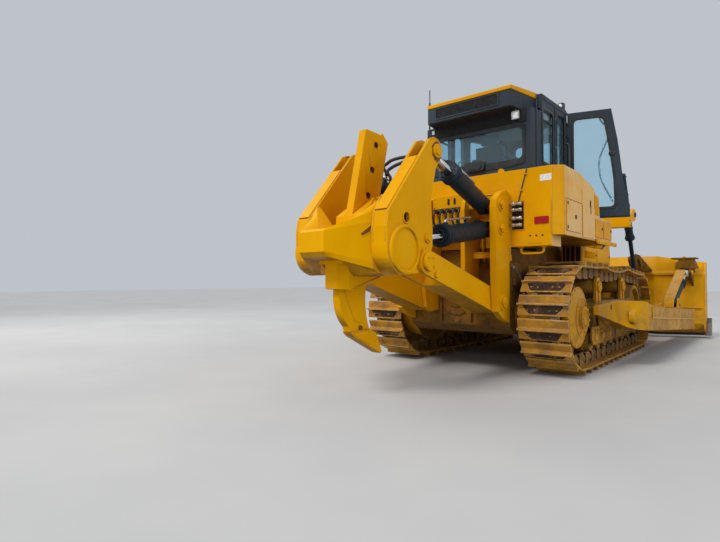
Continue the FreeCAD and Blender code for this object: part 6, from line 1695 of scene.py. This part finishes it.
# ---------------------------------------------------------------- hood, engine, radiator, boxes, fenders
kit = Kit().use("yellow")
for key in ("seam_and_hole_shade", "black", "silver", "seal", "rust", "weld"):
    kit.use(key)
for s in (-1, 1):
    Y = s * 0.600
    kit.use("yellow")
    for k in range(3):                                            # three hinged engine doors with louvres
        x0 = 2.50 + 0.485 * k
        outl = rounded(x0, 1.50, x0 + 0.455, 2.30, 0.03, 4)
        kit.prism(outl, Y, Y + s * 0.012, "XZ")
        for m in range(8):
            z = 1.66 + 0.052 * m
            kit.add([(x0 + 0.07, Y + s * 0.012, z), (x0 + 0.385, Y + s * 0.012, z), (x0 + 0.385, Y + s * 0.030, z + 0.010), (x0 + 0.07, Y + s * 0.030, z + 0.010),
                     (x0 + 0.07, Y + s * 0.012, z + 0.034), (x0 + 0.385, Y + s * 0.012, z + 0.034)],
                    [(0, 1, 2, 3), (3, 2, 5, 4), (0, 3, 4), (1, 5, 2), (0, 4, 5, 1)])
        kit.use("black")
        kit.cyl((x0 + 0.41, Y + s * 0.010, 1.92), (x0 + 0.41, Y + s * 0.024, 1.92), 0.022, 18, 0.003)
        kit.use("yellow")
        for z in (1.60, 2.20):
            kit.cyl((x0 + 0.004, Y + s * 0.014, z - 0.04), (x0 + 0.004, Y + s * 0.014, z + 0.04), 0.011, 12)
    kit.use("silver")
    for k in range(8):
        kit.bolt((2.52 + 0.2 * k, s * 0.535, 2.434), (0, s * 0.35, 0.94), 0.011, 0.009)
    # side box lids with louvres and lines
    kit.use("yellow")
    Y = s * 1.020
    kit.prism(rounded(1.73, 1.585, 2.55, 1.800, 0.02, 3), Y, Y + s * 0.010, "XZ")
    kit.prism(rounded(2.60, 1.585, 3.46, 1.800, 0.02, 3), Y, Y + s * 0.010, "XZ")
    for m in range(11):
        x = 1.86 + 0.056 * m
        kit.add([(x, Y + s * 0.010, 1.64), (x, Y + s * 0.010, 1.76), (x + 0.010, Y + s * 0.024, 1.755), (x + 0.010, Y + s * 0.024, 1.645), (x + 0.034, Y + s * 0.010, 1.64), (x + 0.034, Y + s * 0.010, 1.76)],
                [(0, 1, 2, 3), (3, 2, 5, 4), (0, 3, 4), (1, 5, 2), (0, 4, 5, 1)])
    kit.use("black")
    for x in (2.50, 3.40):
        kit.cyl((x, Y + s * 0.008, 1.70), (x, Y + s * 0.022, 1.70), 0.018, 16, 0.003)
    kit.use("yellow")
    kit.tube([(2.66, s * 0.80, 1.822), (2.66, s * 0.80, 1.95), (2.72, s * 0.80, 1.99), (3.36, s * 0.80, 1.99), (3.42, s * 0.80, 1.95), (3.42, s * 0.80, 1.822)], 0.016, 10, 4)
    # step box treads, panel seams, latches
    kit.use("yellow")
    kit.prism(rounded(0.90, 1.90, 1.30, 2.17, 0.02, 3), s * 1.450, s * 1.462, "XZ")
    kit.prism(rounded(1.36, 1.90, 1.80, 2.17, 0.02, 3), s * 1.450, s * 1.462, "XZ")
    kit.prism([(0.895, 2.235), (1.105, 2.235), (1.100, 2.470), (0.895, 2.520)], s * 1.450, s * 1.460, "XZ")
    kit.use("black")
    for x in (1.25, 1.75):
        kit.cyl((x, s * 1.460, 2.04), (x, s * 1.474, 2.04), 0.020, 16, 0.003)
    kit.prism(rounded(1.20, 0.98 if s > 0 else -1.42, 1.80, 1.42 if s > 0 else -0.98, 0.02, 3), 2.204, 2.212, "XY")
    for ix in range(9):                                           # raised studs of the tread
        for iy in range(6):
            cx, cy = 1.25 + 0.062 * ix, s * (1.04 + 0.066 * iy)
            kit.lathe((cx, cy, 2.211), (cx, cy, 4), [(0, 0.014), (0.005, 0.012)], 6)
    kit.use("yellow")
    for x in (0.95, 1.30, 1.65, 1.90):
        kit.bolt((x, s * 1.500, 1.830), (0, s, 0), 0.012, 0.010)
    # shaded end wall of the side box with pipes in front of it
    kit.use("seam_and_hole_shade")
    kit.box((1.692, 1.701), (s * 0.73, s * 1.012), (1.568, 1.818))
    kit.use("rust")
    for y in (0.78, 0.85, 0.93):
        kit.tube([(1.672, s * y, 1.55), (1.668, s * y, 1.70), (1.672, s * y, 1.835)], 0.014, 8, 3)
kit.use("seam_and_hole_shade")
for x in (2.98, 3.46):
    kit.box((x - 0.003, x + 0.003), (-0.49, 0.49), (2.4485, 2.4515))
# exhaust guard, rain cap, precleaner dome
kit.use("black")
for k in range(10):
    g = 2 * math.pi * k / 10
    kit.tube([(2.9 + 0.135 * math.cos(g), 0.26 + 0.135 * math.sin(g), 2.46), (2.9 + 0.135 * math.cos(g), 0.26 + 0.135 * math.sin(g), 2.73)], 0.007, 6)
for z in (2.48, 2.60, 2.72):
    kit.torus((2.9, 0.26, z), (0, 0, 1), 0.135, 0.008, 32, 6)
kit.torus((2.9, 0.26, 3.292), (0, 0, 1), 0.062, 0.007, 28, 6)
kit.torus((2.9, 0.26, 2.90), (0, 0, 1), 0.067, 0.006, 28, 6)
kit.lathe((3.25, -0.26, 2.855), (3.25, -0.26, 5), [(0, 0.150), (0.015, 0.148), (0.045, 0.125), (0.065, 0.07), (0.072, 0.02)], 36)
for k in range(16):
    g = 2 * math.pi * k / 16
    kit.tube([(3.25 + 0.152 * math.cos(g), -0.26 + 0.152 * math.sin(g), 2.70), (3.25 + 0.152 * math.cos(g), -0.26 + 0.152 * math.sin(g), 2.82)], 0.008, 6)
kit.torus((3.25, -0.26, 2.665), (0, 0, 1), 0.142, 0.010, 36, 6)
kit.use("silver")
kit.torus((3.25, -0.26, 2.56), (0, 0, 1), 0.083, 0.007, 28, 6)
# radiator guard: bolts, hinged grille frame, hooks
kit.use("yellow")
for s in (-1, 1):
    for z in (1.15, 1.45, 1.75, 2.05, 2.35):
        kit.bolt((4.02, s * 0.720, z), (0, s, 0), 0.014, 0.012)
        kit.bolt((4.60, s * 0.720, z), (0, s, 0), 0.014, 0.012)
    kit.prism(rounded(4.10, 1.25, 4.50, 2.30, 0.04, 4), s * 0.720, s * 0.730, "XZ")
    for x in (4.10, 4.42):
        kit.prism([(x - 0.04, 2.498), (x + 0.04, 2.498), (x + 0.04, 2.53)] + arc((x, 2.54), 0.030, 0, 180, 6) + [(x - 0.04, 2.53)], s * 0.5 - 0.010, s * 0.5 + 0.010, "XZ")
kit.use("black")
kit.use("yellow")
band(kit, rounded(-0.60, 1.18, 0.60, 2.38, 0.03, 3), rounded(-0.552, 1.235, 0.552, 2.335, 0.03, 3), 4.640, 4.652, "YZ")
for y in (-0.575, 0.575):
    for z in (1.25, 1.55, 1.85, 2.15, 2.33):
        kit.bolt((4.651, y, z), (1, 0, 0), 0.010, 0.008)
kit.finish("hood_fittings", "machine", bevel=0.0015)

# lift yokes: bolts and hoses from the guard to the swinging barrels' trunnion
kit = Kit().use("yellow")
for key in ("rubber", "silver", "weld"):
    kit.use(key)
for s in (-1, 1):
    kit.use("yellow")
    for x in (4.12, 4.22):
        for z in (2.37, 2.47, 2.56):
            kit.bolt((x, s * 1.2305, z), (0, s, 0), 0.013, 0.011)
    kit.use("rubber")
    kit.hose([(4.10, s * 0.80, 2.34), (4.02, s * 0.86, 2.25), (3.98, s * 0.90, 2.12), (3.96, s * 0.80, 1.96), (3.99, s * 0.74, 1.90)], 0.018)
kit.finish("yoke_fittings", "machine", bevel=0.002)

# hoses at the cab's right front corner and the wiring conduit under it
kit = Kit().use("rubber")
for key in ("silver", "pipe", "black"):
    kit.use(key)
for s in (-1, 1):
    kit.use("rubber")
    kit.hose([(0.953, s * 1.10, 2.60), (1.00, s * 1.14, 2.70), (1.14, s * 1.20, 2.70), (1.28, s * 1.22, 2.60), (1.325, s * 1.22, 2.50), (1.29, s * 1.20, 2.35), (1.27, s * 1.18, 2.215)], 0.017)
    kit.use("pipe")
    kit.tube([(0.953, s * 1.16, 2.58), (1.02, s * 1.20, 2.66), (1.15, s * 1.26, 2.65), (1.26, s * 1.28, 2.55), (1.29, s * 1.28, 2.42), (1.264, s * 1.26, 2.21)], 0.010, 8)
kit.finish("corner_hoses", "machine", bevel=0.0)

# ---------------------------------------------------------------- floor and light
floor = bpy.data.meshes.new("floor")
R = 60.0
floor.from_pydata([(-R, -R, 0), (R, -R, 0), (R, R, 0), (-R, R, 0)], [], [(0, 1, 2, 3)])
floor_ob = bpy.data.objects.new("floor", floor)
SCENE.collection.objects.link(floor_ob)
ft = Tree("floor_pale")
ft.link(ft.mix(ft.ramp(ft.noise(0.35, 4.0, 0.6), 0.3, 0.75), (0.47, 0.47, 0.48), (0.52, 0.52, 0.52)), ft.bsdf.inputs["Base Color"])
ft.bsdf.inputs["Roughness"].default_value = 0.85
floor.materials.append(ft.mat)
floor_ob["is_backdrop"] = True


def area(name, loc, aim, size, power, col=(1, 1, 1)):
    d = bpy.data.lights.new(name, "AREA")
    d.shape = "RECTANGLE"
    d.size, d.size_y = size
    d.energy = power
    d.color = col
    o = bpy.data.objects.new(name, d)
    SCENE.collection.objects.link(o)
    o.location = loc
    o.rotation_mode = "QUATERNION"
    o.rotation_quaternion = (Vector(aim) - Vector(loc)).to_track_quat("-Z", "Y")
    return o


sun = bpy.data.lights.new("key", "SUN")
sun.energy = 1.80
sun.angle = 0.35
sun.color = (1.0, 0.965, 0.90)
sun_ob = bpy.data.objects.new("key", sun)
SCENE.collection.objects.link(sun_ob)
sun_ob.location = (-12.0, 2.0, 16.0)
sun_ob.rotation_mode = "QUATERNION"
sun_ob.rotation_quaternion = Vector((0.62, -0.10, -0.77)).to_track_quat("-Z", "Y")
area("side", (1.0, -16.0, 8.0), (0, 0, 1.2), (12, 8), 560, (1.0, 0.985, 0.96))
area("left", (-6.0, 12.5, 10.0), (-3.5, 0, 1.9), (12, 8), 720, (1.0, 0.97, 0.91))
world = bpy.data.worlds.new("world")
SCENE.world = world
world.use_nodes = True
world.node_tree.nodes["Background"].inputs[0].default_value = (0.86, 0.91, 0.98, 1)
world.node_tree.nodes["Background"].inputs[1].default_value = 0.60

low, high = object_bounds()
